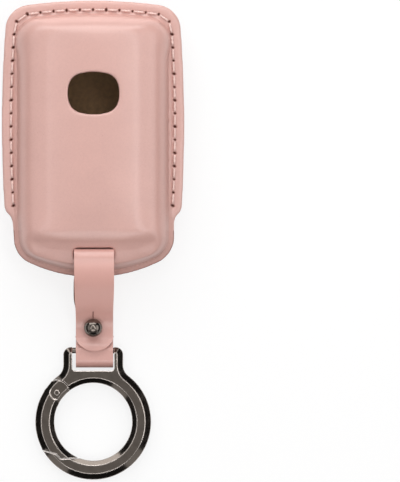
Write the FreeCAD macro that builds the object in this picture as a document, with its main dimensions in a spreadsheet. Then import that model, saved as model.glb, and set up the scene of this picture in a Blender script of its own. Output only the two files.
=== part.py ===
import FreeCAD
import Part
import math
import os

V = FreeCAD.Vector

# Leather cover for a car key, lying on its back: +Y towards its top edge, +Z towards its front.
# Two moulded half shells are sewn along a flange, a strap goes through both at the open lower end,
# and a gate ring hangs in the strap's fold.

DRIVING_SIZES = (
    ("case_length", 81.4, "top edge to bottom lip"),
    ("case_width", 53.7, "across the stitched flange"),
    ("case_top_bow", 145.0, "radius of the top edge"),
    ("case_side_draw", 0.7, "how far a side edge draws in from its widest place to its shoulder"),
    ("case_corner", 7.4, "radius of the top corners"),
    ("case_widest_ratio", 0.453, "share of the length from the top edge to the widest place"),
    ("shoulder_depth", 2.9, "how far the flange narrows at each shoulder"),
    ("mouth_rise", 20.9, "bottom lip up to where the stitched flange ends"),
    ("mouth_gap", 0.6, "between the two lips"),
    ("mouth_corner", 8.5, "radius of the bottom corners"),
    ("mouth_bow", 44.0, "radius of the bottom lip"),
    ("flange_shoulder", 3.4, "radius of the two bends where the flange narrows"),
    ("leather", 1.5, "thickness of the shells"),
    ("lining", 0.3, "thickness of the lining"),
    ("glue_line", 0.05, "between lining and leather"),
    ("lining_edge", 0.3, "lining's edge back from the seam plane"),
    ("pocket_depth", 16.4, "inside, front lining to back lining"),
    ("flange_width", 4.0, "flange at its widest place, edge to dome"),
    ("dome_top_margin", 4.2, "top edge to the dome"),
    ("dome_lip_margin", 1.2, "bottom lip to the dome"),
    ("dome_side_slope", 10.5, "dome's side to its flat top"),
    ("dome_top_slope", 5.4, "dome's upper end to its flat top"),
    ("dome_lip_slope", 9.4, "dome's lower end to its flat top"),
    ("dome_corner", 7.0, "radius of the dome's corners at the flange"),
    ("dome_flat_corner", 5.0, "radius of the flat top's corners"),
    ("dome_flat_bow", 220.0, "radius of the flat top's lower edge"),
    ("window_width", 15.1, "oval window"),
    ("window_height", 12.4, "oval window"),
    ("window_side_bow", 9.2, "radius of the oval's sides"),
    ("window_top_bow", 16.6, "radius of the oval's upper and lower edges"),
    ("window_corner", 4.3, "radius of the oval's corners"),
    ("window_drop", 27.35, "top edge to the window's centre"),
    ("window_reveal", 0.4, "lining's edge back from the window"),
    ("slot_width", 11.9, "strap slot"),
    ("slot_height", 3.6, "strap slot"),
    ("slot_corner", 0.9, "strap slot"),
    ("slot_rise", 8.6, "bottom lip to the slot's upper edge"),
    ("slot_play", 0.35, "strap to the slot's upper edge"),
    ("stitch_count", 40, "stitches along the seam"),
    ("stitch_margin", 2.75, "flange edge to the stitches"),
    ("stitch_radius", 0.4, "thread"),
    ("stitch_hole", 0.45, "thread end to the hole's centre"),
    ("strap_width", 11.3, "strap"),
    ("strap_leather", 1.3, "strap"),
    ("strap_bend", 1.65, "strap's middle line where it turns into a slot"),
    ("strap_crest_drop", 2.3, "bottom lip to the front layer's crest"),
    ("strap_crest_rise", 6.6, "seam plane to the front layer's crest"),
    ("strap_crest_bend", 20.0, "radius of the crest"),
    ("strap_lift", 1.3, "strap above the slot's lower edge"),
    ("strap_flap_bend", 5.5, "radius where the flap flattens"),
    ("strap_play", 0.3, "strap to the bar and between moving layers"),
    ("layer_play", 0.05, "between layers that lie on each other"),
    ("bend_axis_drop", 9.7, "bottom lip to the axis the strap bends on"),
    ("bend_axis_rise", 4.0, "floor to that axis"),
    ("bend_radius", 5.0, "reach of the bend"),
    ("flap_end_drop", 21.7, "bottom lip to the flap's round end"),
    ("flap_end_bow", 7.0, "radius of the flap's end"),
    ("flap_end_corner", 3.4, "radius of the end's corners"),
    ("flap_foot", 5.2, "stud to where the flap starts to rise"),
    ("stud_drop", 14.9, "bottom lip to the stud"),
    ("stud_ball", 2.4, "radius of the ball head"),
    ("stud_neck", 1.4, "radius"),
    ("stud_flange", 2.6, "radius"),
    ("stud_flange_height", 0.6, "flange under the flap"),
    ("stud_bore_depth", 4.4, "tapped hole"),
    ("keyhole_play", 0.2, "flap to the stud's neck"),
    ("slit_reach", 4.7, "stud to the slit's end"),
    ("slit_width", 0.35, "slit above the keyhole"),
    ("screw_radius", 1.2, "shank"),
    ("screw_head", 2.9, "radius"),
    ("screw_head_height", 0.8, "flat head"),
    ("screw_slot_width", 0.7, "driver slot"),
    ("screw_slot_depth", 0.4, "driver slot"),
    ("screw_play", 0.05, "shank to its hole"),
    ("bar_drop", 21.6, "bottom lip to the ring's bar"),
    ("bar_radius", 0.85, "ring's bar"),
    ("bar_reach", 21.0, "bar to the ring's centre"),
    ("fold_reach", 2.6, "bar to the middle of the strap's fold"),
    ("ring_outer", 17.05, "radius"),
    ("ring_inner", 11.47, "radius"),
    ("ring_height", 4.9, "thickness"),
    ("ring_outer_bevel", 1.73, "outer bevel"),
    ("ring_inner_bevel", 1.44, "inner bevel"),
    ("ring_bevel_ratio", 0.72, "bevels' height for their width"),
    ("eye_width", 12.4, "inside the strap eye"),
    ("eye_arm", 2.6, "width of the eye's arms"),
    ("eye_floor", 15.0, "ring's centre to the eye's lower edge"),
    ("eye_corner", 0.9, "radius inside the eye"),
    ("eye_shoulder", 2.2, "radius of the arms' ends"),
    ("eye_crown", 1.0, "bar to the arms' ends"),
    ("eye_flare", 4.0, "radius where the arms meet the ring"),
    ("pin_angle", 141.3, "where the gate's pin stands on the ring"),
    ("pin_circle", 13.7, "ring's centre to the gate's pin"),
    ("pin_radius", 0.75, "rivet shank"),
    ("rivet_head", 1.0, "radius"),
    ("rivet_crown", 0.2, "height of the rivet's head"),
    ("pin_play", 0.05, "tongue to pin"),
    ("gate_play", 0.2, "gate to frame"),
    ("knuckle", 3.85, "radius of the hinge joint about the pin"),
    ("tongue", 2.3, "radius of the frame's tongue"),
    ("tongue_height", 1.5, "thickness of the tongue"),
    ("fork_play", 0.15, "each side of the tongue"),
    ("fork_reach", 5.4, "pin to the end of the gate's slot"),
    ("cheek_recess", 0.35, "how far the fork's cheeks lie below the gate"),
    ("fork_boss", 2.05, "radius of the step about the pin"),
    ("nose_outer_angle", 210.0, "where the gate's end meets the outer edge"),
    ("nose_lap_start_angle", 221.0, "where the lap begins"),
    ("nose_lap_end_angle", 229.0, "where the lap ends"),
    ("nose_inner_angle", 243.0, "where the gate's end meets the bore"),
    ("nose_lap_offset", 0.35, "lap outside the ring's middle line"),
    ("spring_coil", 0.55, "radius of the gate spring's middle line"),
    ("spring_wire", 0.14, "radius"),
    ("spring_turns", 4, "turns"),
    ("spring_offset", 1.3, "pin to the spring's axis"),
    ("spring_play", 0.1, "spring to its seats"),
)

doc = FreeCAD.newDocument("key_cover")
sheet = doc.addObject("Spreadsheet::Sheet", "sizes")
for row, (alias, value, note) in enumerate(DRIVING_SIZES, start=1):
    sheet.set(f"A{row}", note)
    sheet.set(f"B{row}", str(value))
    sheet.setAlias(f"B{row}", alias)
doc.recompute()


def size(alias):
    return float(sheet.get(alias))


# Places along the length, from the case's top edge down to the ring
total_length = size("case_length") + size("bar_drop") + size("bar_reach") + size("ring_outer")
case_top = total_length / 2
lip = case_top - size("case_length")
bar_y = lip - size("bar_drop")
ring_y = bar_y - size("bar_reach")
stud_y = lip - size("stud_drop")
window_y = case_top - size("window_drop")
slot_top = lip + size("slot_rise")
slot_low = slot_top - size("slot_height")
flange_end = lip + size("mouth_rise")

# Heights
leather = size("leather")
seam_z = size("pocket_depth") / 2 + size("lining") + size("glue_line") + leather
SEAM_Z = "(sizes.pocket_depth / 2 + sizes.lining + sizes.glue_line + sizes.leather)"
dome_rise = seam_z - leather
DOME_RISE = "(sizes.pocket_depth / 2 + sizes.lining + sizes.glue_line)"
ring_z = size("ring_height") / 2


# Plane geometry
def polar(centre, radius, degrees):
    angle = math.radians(degrees)
    return V(centre.x + radius * math.cos(angle), centre.y + radius * math.sin(angle), 0)


def direction_of(centre, point):
    return math.degrees(math.atan2(point.y - centre.y, point.x - centre.x))


def arc(centre, radius, start, end):
    middle = (start + end) / 2
    return Part.Arc(polar(centre, radius, start), polar(centre, radius, middle), polar(centre, radius, end))


def arc_between(centre, radius, first, last, clockwise):
    start = direction_of(centre, first)
    end = direction_of(centre, last)
    if clockwise and end > start:
        end -= 360
    if not clockwise and end < start:
        end += 360
    return arc(centre, radius, start, end)


def line(first, last):
    return Part.LineSegment(first, last)


def mirrored(edges):
    flipped = []
    for edge in reversed(edges):
        if isinstance(edge, Part.LineSegment):
            flipped.append(line(flip(edge.EndPoint), flip(edge.StartPoint)))
        else:
            middle = edge.value((edge.FirstParameter + edge.LastParameter) / 2)
            flipped.append(Part.Arc(flip(edge.EndPoint), flip(middle), flip(edge.StartPoint)))
    return flipped


def flip(point):
    return V(-point.x, point.y, 0)


def corner_centre(first, first_radius, second, second_radius):
    # The point at the two given distances from two centres that lies furthest up and to the right
    gap = second - first
    along = (gap.Length ** 2 + first_radius ** 2 - second_radius ** 2) / (2 * gap.Length)
    aside = math.sqrt(first_radius ** 2 - along ** 2)
    unit = V(gap.x / gap.Length, gap.y / gap.Length, 0)
    foot = first + unit * along
    across = V(-unit.y, unit.x, 0) * aside
    return max(foot + across, foot - across, key=lambda point: point.x + point.y)


def lip_corner_centre(half_width, corner, low, bow):
    bow_centre = low + bow
    return V(half_width - corner, bow_centre - math.sqrt((bow - corner) ** 2 - (half_width - corner) ** 2), 0)


def rounded_box(half_width, low, high, corner):
    quarters = ((half_width - corner, high - corner, 90, 0), (half_width - corner, low + corner, 0, -90),
                (corner - half_width, low + corner, -90, -180), (corner - half_width, high - corner, 180, 90))
    edges = []
    for x, y, start, end in quarters:
        turn = arc(V(x, y, 0), corner, start, end)
        if edges:
            edges.append(line(edges[-1].EndPoint, turn.StartPoint))
        edges.append(turn)
    edges.append(line(edges[-1].EndPoint, edges[0].StartPoint))
    return edges


def oval(half_width, half_height, side_bow, top_bow, corner, centre_y):
    # A squarish oval: bowed sides, flatter upper and lower edges and round corners, all tangent
    side_shift = half_width - side_bow
    top_shift = half_height - top_bow
    turn = corner_centre(V(0, top_shift, 0), top_bow - corner, V(side_shift, 0, 0), side_bow - corner)
    side_end = math.degrees(math.atan2(turn.y, turn.x - side_shift))
    top_end = math.degrees(math.atan2(turn.y - top_shift, turn.x))
    middle = V(0, centre_y, 0)
    return [arc(middle + V(side_shift, 0, 0), side_bow, -side_end, side_end),
            arc(middle + V(turn.x, turn.y, 0), corner, side_end, top_end),
            arc(middle + V(0, top_shift, 0), top_bow, top_end, 180 - top_end),
            arc(middle + V(-turn.x, turn.y, 0), corner, 180 - top_end, 180 - side_end),
            arc(middle + V(-side_shift, 0, 0), side_bow, 180 - side_end, 180 + side_end),
            arc(middle + V(-turn.x, -turn.y, 0), corner, 180 + side_end, 180 + top_end),
            arc(middle + V(0, -top_shift, 0), top_bow, 180 + top_end, 360 - top_end),
            arc(middle + V(turn.x, -turn.y, 0), corner, 360 - top_end, 360 - side_end)]


def flange_run(inset):
    # The upper edge from the right shoulder round the top to the left one, moved in by the inset
    half = size("case_width") / 2
    widest_y = case_top - size("case_length") * size("case_widest_ratio")
    draw = size("case_side_draw")
    side_bow = ((widest_y - flange_end) ** 2 + draw ** 2) / (2 * draw)
    top_centre = V(0, case_top - size("case_top_bow"), 0)
    side_centre = V(half - side_bow, widest_y, 0)
    corner = size("case_corner")
    turn = corner_centre(top_centre, size("case_top_bow") - corner, side_centre, side_bow - corner)
    shoulder_tilt = math.degrees(math.asin((flange_end - widest_y) / side_bow))
    side_end = direction_of(side_centre, turn)
    top_end = direction_of(top_centre, turn)
    right = [arc(side_centre, side_bow - inset, shoulder_tilt, side_end),
             arc(turn, corner - inset, side_end, top_end)]
    top = arc(top_centre, size("case_top_bow") - inset, top_end, 180 - top_end)
    return right + [top] + mirrored(right), shoulder_tilt


def flange_outline():
    upper, shoulder_tilt = flange_run(0)
    bend = size("flange_shoulder")
    half = size("case_width") / 2 - size("shoulder_depth")
    start = upper[0].StartPoint
    first = polar(start, -bend, shoulder_tilt)
    turn = math.acos((bend * math.cos(math.radians(shoulder_tilt)) + bend - (start.x - half)) / (2 * bend))
    turned = -math.degrees(turn)
    second = polar(first, 2 * bend, turned)
    corner = size("mouth_corner")
    low = lip_corner_centre(half, corner, lip, size("mouth_bow"))
    bow_centre = V(0, lip + size("mouth_bow"), 0)
    low_end = direction_of(bow_centre, low)
    lower = [arc(low, corner, low_end, 0), line(V(half, low.y, 0), V(half, second.y, 0)),
             arc(second, bend, 180, 180 + turned), arc(first, bend, turned, shoulder_tilt)]
    bottom = arc(bow_centre, size("mouth_bow"), -180 - low_end, low_end)
    return lower + upper + mirrored(lower) + [bottom]


# The dome's levels: share of its rise, of its side and upper slope, and of its lower slope
DOME_LEVELS = ((0.0, 0.0, 0.0), (0.383, 0.076, 0.085), (0.707, 0.293, 0.36), (0.924, 0.617, 0.77), (1.0, 1.0, 1.0))


def dome_outline(level, inset):
    # One level of the dome, or of a dome inside it whose skin lies the inset further in
    rise, side, low = level
    root_half = size("case_width") / 2 - size("flange_width") - inset
    half = root_half - (size("dome_side_slope") - inset) * side
    high = case_top - size("dome_top_margin") - inset - (size("dome_top_slope") - inset) * side
    base = lip + size("dome_lip_margin") + inset + (size("dome_lip_slope") - inset) * low
    root_corner = size("dome_corner") - inset
    corner = root_corner + (size("dome_flat_corner") - root_corner) * side
    root_bow = 1 / (size("mouth_bow") - size("dome_lip_margin") - inset)
    bow = 1 / (root_bow + (1 / size("dome_flat_bow") - root_bow) * low)
    top_bow = size("case_top_bow")
    top_centre = V(0, high - top_bow, 0)
    turn_y = top_centre.y + math.sqrt((top_bow - corner) ** 2 - (half - corner) ** 2)
    turn = V(half - corner, turn_y, 0)
    low_turn = lip_corner_centre(half, corner, base, bow)
    bow_centre = V(0, base + bow, 0)
    top_end = direction_of(top_centre, turn)
    low_end = direction_of(bow_centre, low_turn)
    right = [arc(low_turn, corner, low_end, 0), line(V(half, low_turn.y, 0), V(half, turn.y, 0)),
             arc(turn, corner, 0, top_end)]
    top = arc(top_centre, top_bow, top_end, 180 - top_end)
    bottom = arc(bow_centre, bow, -180 - low_end, low_end)
    return right + [top] + mirrored(right) + [bottom]


def rounded_path(points, bends):
    # Straight runs joined by tangent arcs: each step is a line or an arc with its turn to the left or right
    steps = []
    here = points[0]
    for before, corner, after, bend in zip(points, points[1:], points[2:], bends):
        arrive = (corner - before).normalize()
        leave = (after - corner).normalize()
        side = 1 if arrive.x * leave.y - arrive.y * leave.x > 0 else -1
        back = bend * math.tan(arrive.getAngle(leave) / 2)
        start = corner - arrive * back
        end = corner + leave * back
        centre = start + V(-arrive.y, arrive.x, 0) * (side * bend)
        steps.append(("line", here, start))
        steps.append(("arc", start, end, centre, bend, side))
        here = end
    steps.append(("line", here, points[-1]))
    return steps


def band_outline(points, bends, thickness):
    # The edge view of a strip of leather whose middle line follows the points
    half = thickness / 2
    left = []
    right = []
    for step in rounded_path(points, bends):
        start, end = step[1], step[2]
        if step[0] == "line":
            if (end - start).Length < thickness / 100:
                continue
            along = (end - start).normalize()
            across = V(-along.y, along.x, 0) * half
            left.append(line(start + across, end + across))
            right.append(line(end - across, start - across))
        else:
            centre, bend, side = step[3:]
            for edges, radius in ((left, bend - side * half), (right, bend + side * half)):
                first = centre + (start - centre).normalize() * radius
                last = centre + (end - centre).normalize() * radius
                edges.append(arc_between(centre, radius, first, last, side < 0))
    right.reverse()
    return (left + [line(end_of(left[-1], left[-2]), near_end(right[0], end_of(left[-1], left[-2])))] + right
            + [line(near_end(right[-1], start_of(left[0], left[1])), start_of(left[0], left[1]))])


def end_of(last, previous):
    return max((last.StartPoint, last.EndPoint), key=lambda point: distance_to(previous, point))


def start_of(first, following):
    return max((first.StartPoint, first.EndPoint), key=lambda point: distance_to(following, point))


def distance_to(edge, point):
    return min((edge.StartPoint - point).Length, (edge.EndPoint - point).Length)


def near_end(edge, point):
    return min((edge.StartPoint, edge.EndPoint), key=lambda end: (end - point).Length)


# Bodies, sketches and features
def new_body(name):
    body = doc.addObject("PartDesign::Body", name)
    body.Label = name
    return body


def sketch_on(body, name, edges, plane="XY_Plane", height=None):
    sketch = body.newObject("Sketcher::SketchObject", name)
    support = next(feature for feature in body.Origin.OriginFeatures if feature.Role == plane)
    sketch.AttachmentSupport = (support, [""])
    sketch.MapMode = "FlatFace"
    sketch.addGeometry(edges, False)
    if height:
        sketch.setExpression("AttachmentOffset.Base.z", height)
    return sketch


def feature_on(body, kind, name, profile, **settings):
    feature = body.newObject("PartDesign::" + kind, name)
    feature.Profile = profile
    for key, value in settings.items():
        if isinstance(value, str) and key in ("Length", "Size", "Angle"):
            feature.setExpression(key, value)
        else:
            setattr(feature, key, value)
    body.Tip = feature
    doc.recompute()
    return feature


def pocket_through(body, name, edges, plane="XY_Plane", height=None, reach="sizes.case_width"):
    sketch = sketch_on(body, name + "_sketch", edges, plane, height)
    return feature_on(body, "Pocket", name, sketch, SideType="Symmetric", Length="2 * " + reach)


def pocket_into(body, name, edges, height, length, upwards):
    sketch = sketch_on(body, name + "_sketch", edges, height=height)
    return feature_on(body, "Pocket", name, sketch, Length=length, Reversed=upwards)


def circle(centre, radius):
    return [Part.Circle(centre, V(0, 0, 1), radius)]


# The case
def dome_levels(body, name, inset, base_expression, rise_expression, facing):
    sign = "+" if facing > 0 else "-"
    sketches = []
    for number, level in enumerate(DOME_LEVELS):
        height = f"{SEAM_Z} {sign} ({base_expression} + {rise_expression} * {level[0]})"
        sketches.append(sketch_on(body, f"{name}_level_{number}", dome_outline(level, inset), height=height))
    return sketches


def dome_feature(body, kind, name, inset, base_expression, rise_expression, facing):
    sketches = dome_levels(body, name, inset, base_expression, rise_expression, facing)
    return feature_on(body, kind, name, sketches[0], Sections=sketches[1:])


def window_edges(grow):
    return oval(size("window_width") / 2 + grow, size("window_height") / 2 + grow, size("window_side_bow") + grow,
                size("window_top_bow") + grow, size("window_corner") + grow, window_y)


def slot_edges(grow):
    return rounded_box(size("slot_width") / 2 + grow, slot_low - grow, slot_top + grow, size("slot_corner") + grow)


def seam_slab(low):
    half = size("case_width")
    corners = [V(-half, low, 0), V(half, low, 0), V(half, case_top + leather, 0), V(-half, case_top + leather, 0)]
    return [line(first, last) for first, last in zip(corners, corners[1:] + corners[:1])]


def mouth_slab():
    half = size("case_width")
    low = lip - leather
    corners = [V(-half, low, 0), V(half, low, 0), V(half, flange_end, 0), V(-half, flange_end, 0)]
    return [line(first, last) for first, last in zip(corners, corners[1:] + corners[:1])]


def half_pocket(body, name, edges, facing):
    # Cuts through one half of the case only, from the seam plane outwards
    return pocket_into(body, name, edges, SEAM_Z, "sizes.case_width", facing > 0)


def make_shell(name, facing, has_window):
    body = new_body(name)
    flange = sketch_on(body, name + "_flange_sketch", flange_outline(), height=SEAM_Z)
    feature_on(body, "Pad", name + "_flange", flange, Length="sizes.leather", Reversed=facing < 0)
    dome_feature(body, "AdditiveLoft", name + "_dome", 0, "sizes.leather", DOME_RISE, facing)
    dome_feature(body, "SubtractiveLoft", name + "_hollow", leather, "0", DOME_RISE, facing)
    if has_window:
        half_pocket(body, name + "_window", window_edges(0), facing)
    half_pocket(body, name + "_slot", slot_edges(0), facing)
    pocket_into(body, name + "_mouth", mouth_slab(), SEAM_Z, "sizes.mouth_gap / 2", facing > 0)
    return body


def make_lining(name, facing, has_window):
    body = new_body(name)
    outside = leather + size("glue_line")
    rise = "(sizes.pocket_depth / 2 + sizes.lining)"
    dome_feature(body, "AdditiveLoft", name + "_outside", outside, "0", rise, facing)
    inside = outside + size("lining")
    dome_feature(body, "SubtractiveLoft", name + "_inside", inside, "0", "(sizes.pocket_depth / 2)", facing)
    if has_window:
        half_pocket(body, name + "_window", window_edges(size("window_reveal")), facing)
    half_pocket(body, name + "_slot", slot_edges(size("window_reveal")), facing)
    edge = "max(sizes.lining_edge; sizes.mouth_gap / 2)"
    pocket_into(body, name + "_edge", seam_slab(lip - leather), SEAM_Z, edge, facing > 0)
    return body


def make_thread(name, facing):
    # Straight stitches from hole to hole, lying on the flange
    edges, _ = flange_run(size("stitch_margin"))
    seam = Part.Wire([edge.toShape() for edge in edges])
    holes = seam.discretize(Number=int(size("stitch_count")) + 1)
    height = seam_z + facing * (leather + size("stitch_radius") + size("layer_play"))
    stitches = []
    for first, last in zip(holes, holes[1:]):
        along = (last - first).normalize()
        start = first + along * size("stitch_hole")
        length = (last - first).Length - 2 * size("stitch_hole")
        stitches.append(Part.makeCylinder(size("stitch_radius"), length, V(start.x, start.y, height), along))
    thread = doc.addObject("Part::Feature", name)
    thread.Label = name
    thread.Shape = Part.makeCompound(stitches)
    return thread


# The strap, seen from its edge: across is the case's length, up is its thickness
strap = size("strap_leather")
leg_y = slot_top - size("slot_play") - strap / 2
floor_play = size("layer_play")
back_z = floor_play + strap / 2
clamped_back_z = floor_play + size("screw_head_height") + strap / 2
inner_z = clamped_back_z + strap + size("layer_play")
flap_z = inner_z + strap + size("stud_flange_height") + size("layer_play")
fold_top_z = ring_z + size("bar_radius") + size("strap_play") + strap / 2
bend_axis = V(lip - size("bend_axis_drop"), size("bend_axis_rise"), 0)
crest = V(lip - size("strap_crest_drop"), seam_z + size("strap_crest_rise"), 0)
clamp_half = size("screw_head") + strap / 4
flap_foot = V(stud_y + size("flap_foot"), flap_z, 0)


def slope_height(y):
    # Height of the front dome above the seam plane on its lower slope, by straight lines between levels
    foot = lip + size("dome_lip_margin")
    run = (y - foot) / size("dome_lip_slope")
    for (low_rise, _, low_run), (high_rise, _, high_run) in zip(DOME_LEVELS, DOME_LEVELS[1:]):
        if run <= high_run:
            share = (run - low_run) / (high_run - low_run)
            return leather + dome_rise * (low_rise + (high_rise - low_rise) * share)
    return leather + dome_rise


# The strap's underside clears the slot's lower edge on both sides
lip_clear = slope_height(slot_low) + size("strap_lift") + strap / 2
front_turn = V(leg_y, seam_z + lip_clear, 0)
back_turn = V(leg_y, max(seam_z - lip_clear, back_z), 0)


def make_strap_upper():
    body = new_body("strap_upper")
    points = [flap_foot, crest, front_turn, back_turn, V(bend_axis.x, clamped_back_z, 0)]
    bends = [size("strap_crest_bend"), size("strap_bend"), size("strap_bend")]
    side = sketch_on(body, "strap_upper_side", band_outline(points, bends, strap), "YZ_Plane")
    feature_on(body, "Pad", "strap_upper_band", side, SideType="Symmetric", Length="sizes.strap_width")
    reach = circle(bend_axis, size("bend_radius") + size("strap_play") / 2)
    pocket_through(body, "strap_upper_bend", reach, "YZ_Plane")
    return body


def beyond_bend():
    # Everything on the case's side of the bend, which the lower pieces leave free
    radius = size("bend_radius") - size("strap_play") / 2
    far = size("case_length")
    low = bend_axis - V(0, radius, 0)
    high = bend_axis + V(0, radius, 0)
    corners = [high, high + V(0, far, 0), high + V(far, far, 0), low + V(far, -far, 0), low - V(0, far, 0), low]
    edges = [line(first, last) for first, last in zip(corners, corners[1:])]
    return edges + [arc(bend_axis, radius, -90, 90)]


def make_strap_flap():
    body = new_body("strap_flap")
    flap_end = lip - size("flap_end_drop")
    clamp_end = stud_y - clamp_half
    rest_z = fold_top_z + strap + size("layer_play")
    lift = V(clamp_end - (rest_z - flap_z) * 2.5, rest_z, 0)
    points = [crest, flap_foot, V(clamp_end, flap_z, 0), lift, V(flap_end - strap, rest_z, 0)]
    bends = [size("strap_flap_bend"), strap * 2, strap * 2]
    side = sketch_on(body, "strap_flap_side", band_outline(points, bends, strap), "YZ_Plane")
    feature_on(body, "Pad", "strap_flap_band", side, SideType="Symmetric", Length="sizes.strap_width")
    pocket_through(body, "strap_flap_bend", beyond_bend(), "YZ_Plane")
    half = size("strap_width") / 2
    bow = size("flap_end_bow")
    turn = lip_corner_centre(half, size("flap_end_corner"), flap_end, bow)
    bow_centre = V(0, flap_end + bow, 0)
    tilt = direction_of(bow_centre, turn)
    corner = arc(turn, size("flap_end_corner"), tilt, 0)
    waste = [V(half, turn.y, 0), V(2 * half, turn.y, 0), V(2 * half, flap_end - half, 0),
             V(-2 * half, flap_end - half, 0), V(-2 * half, turn.y, 0), V(-half, turn.y, 0)]
    round_end = mirrored([corner]) + [arc(bow_centre, bow, -180 - tilt, tilt), corner]
    round_end += [line(first, last) for first, last in zip(waste, waste[1:])]
    pocket_through(body, "strap_flap_end", round_end)
    hole = size("stud_neck") + size("keyhole_play")
    slit = size("slit_width") / 2
    spread = math.degrees(math.acos(slit / hole))
    stud = V(0, stud_y, 0)
    slit_end = stud_y + size("slit_reach")
    round_hole = arc(stud, hole, 180 - spread, 360 + spread)
    keyhole = [round_hole, line(round_hole.EndPoint, V(slit, slit_end, 0)),
               line(V(slit, slit_end, 0), V(-slit, slit_end, 0)),
               line(V(-slit, slit_end, 0), round_hole.StartPoint)]
    pocket_through(body, "strap_flap_keyhole", keyhole)
    return body


def make_strap_loop():
    body = new_body("strap_loop")
    clamp_end = stud_y - clamp_half
    fold_radius = (fold_top_z - back_z) / 2
    fold_y = bar_y - size("fold_reach") - fold_radius
    down_run = (clamped_back_z - back_z) * 2.5
    up_run = (fold_top_z - inner_z) * 2.2
    points = [back_turn, V(bend_axis.x, clamped_back_z, 0), V(clamp_end, clamped_back_z, 0),
              V(clamp_end - down_run, back_z, 0), V(fold_y, back_z, 0), V(fold_y, fold_top_z, 0),
              V(clamp_end - up_run, fold_top_z, 0), V(clamp_end, inner_z, 0), V(stud_y + clamp_half, inner_z, 0)]
    gentle = strap * 1.5
    bends = [gentle, gentle, gentle, fold_radius, fold_radius, gentle, gentle]
    side = sketch_on(body, "strap_loop_side", band_outline(points, bends, strap), "YZ_Plane")
    feature_on(body, "Pad", "strap_loop_band", side, SideType="Symmetric", Length="sizes.strap_width")
    pocket_through(body, "strap_loop_bend", beyond_bend(), "YZ_Plane")
    hole = circle(V(0, stud_y, 0), size("screw_radius") + size("screw_play"))
    pocket_through(body, "strap_loop_hole", hole)
    return body


# The stud: profiles hold the radius across and the height up, and turn about the stud's axis
def turned_body(name, profile, x, y):
    body = new_body(name)
    body.Placement = FreeCAD.Placement(V(x, y, 0), FreeCAD.Rotation())
    sketch = sketch_on(body, name + "_profile", profile, "XZ_Plane")
    axis = next(feature for feature in body.Origin.OriginFeatures if feature.Role == "Z_Axis")
    feature_on(body, "Revolution", name + "_turned", sketch, ReferenceAxis=(axis, [""]), Angle=360.0)
    return body


def closed_lines(corners):
    points = [V(x, y, 0) for x, y in corners]
    return [line(first, last) for first, last in zip(points, points[1:] + points[:1])]


seat_z = inner_z + strap / 2


def make_stud_head():
    flange_top = seat_z + size("stud_flange_height")
    neck = size("stud_neck")
    ball = size("stud_ball")
    ball_z = flange_top + strap + 2 * size("layer_play") + math.sqrt(ball ** 2 - neck ** 2)
    bore = size("screw_radius") + size("screw_play")
    bore_top = seat_z + size("stud_bore_depth")
    neck_top = ball_z - math.sqrt(ball ** 2 - neck ** 2)
    centre = V(0, ball_z, 0)
    start = direction_of(centre, V(neck, neck_top, 0))
    profile = [arc(centre, ball, start, 90), line(V(0, ball_z + ball, 0), V(0, bore_top, 0)),
               line(V(0, bore_top, 0), V(bore, bore_top, 0)), line(V(bore, bore_top, 0), V(bore, seat_z, 0)),
               line(V(bore, seat_z, 0), V(size("stud_flange"), seat_z, 0)),
               line(V(size("stud_flange"), seat_z, 0), V(size("stud_flange"), flange_top, 0)),
               line(V(size("stud_flange"), flange_top, 0), V(neck, flange_top, 0)),
               line(V(neck, flange_top, 0), V(neck, neck_top, 0))]
    return turned_body("stud_head", profile, 0, stud_y)


def make_stud_screw():
    head_top = clamped_back_z - strap / 2
    head_low = head_top - size("screw_head_height")
    tip = seat_z + size("stud_bore_depth") - size("screw_play") * 4
    shank = size("screw_radius")
    head = size("screw_head")
    corners = ((0, head_low), (head, head_low), (head, head_top), (shank, head_top), (shank, tip), (0, tip))
    body = turned_body("stud_screw", closed_lines(corners), 0, stud_y)
    half = size("screw_slot_width") / 2
    slot = closed_lines(((-head * 2, -half), (head * 2, -half), (head * 2, half), (-head * 2, half)))
    height = "sizes.layer_play"
    pocket_into(body, "stud_screw_slot", slot, height, "sizes.screw_slot_depth", True)
    return body


# The ring and its gate
ring_centre = V(0, ring_y, 0)
pin = polar(ring_centre, size("pin_circle"), size("pin_angle"))
outward = (pin - ring_centre).normalize()
gateward = V(-outward.y, outward.x, 0)
RING_Z = "sizes.ring_height / 2"


def at_pin(along_gate, out):
    return pin + gateward * along_gate + outward * out


def frame_outline():
    arm = size("eye_width") / 2 + size("eye_arm")
    flare = size("eye_flare")
    outer = size("ring_outer")
    flare_y = math.sqrt((outer + flare) ** 2 - (arm + flare) ** 2)
    flare_centre = V(arm + flare, ring_y + flare_y, 0)
    join = direction_of(ring_centre, flare_centre)
    top = bar_y + size("eye_crown")
    shoulder = size("eye_shoulder")
    shoulder_centre = V(arm - shoulder, top - shoulder, 0)
    notch = size("eye_width") / 2
    corner = size("eye_corner")
    floor = ring_y + size("eye_floor")
    right = [arc(flare_centre, flare, 180, 180 + join),
             line(V(arm, flare_centre.y, 0), V(arm, shoulder_centre.y, 0)),
             arc(shoulder_centre, shoulder, 0, 90), line(V(shoulder_centre.x, top, 0), V(notch, top, 0)),
             line(V(notch, top, 0), V(notch, floor + corner, 0)),
             arc(V(notch - corner, floor + corner, 0), corner, 0, -90)]
    eye_floor = line(V(notch - corner, floor, 0), V(corner - notch, floor, 0))
    around = arc(ring_centre, outer, 180 - join, 360 + join)
    return right + [eye_floor] + mirrored(right) + [around]


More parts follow.
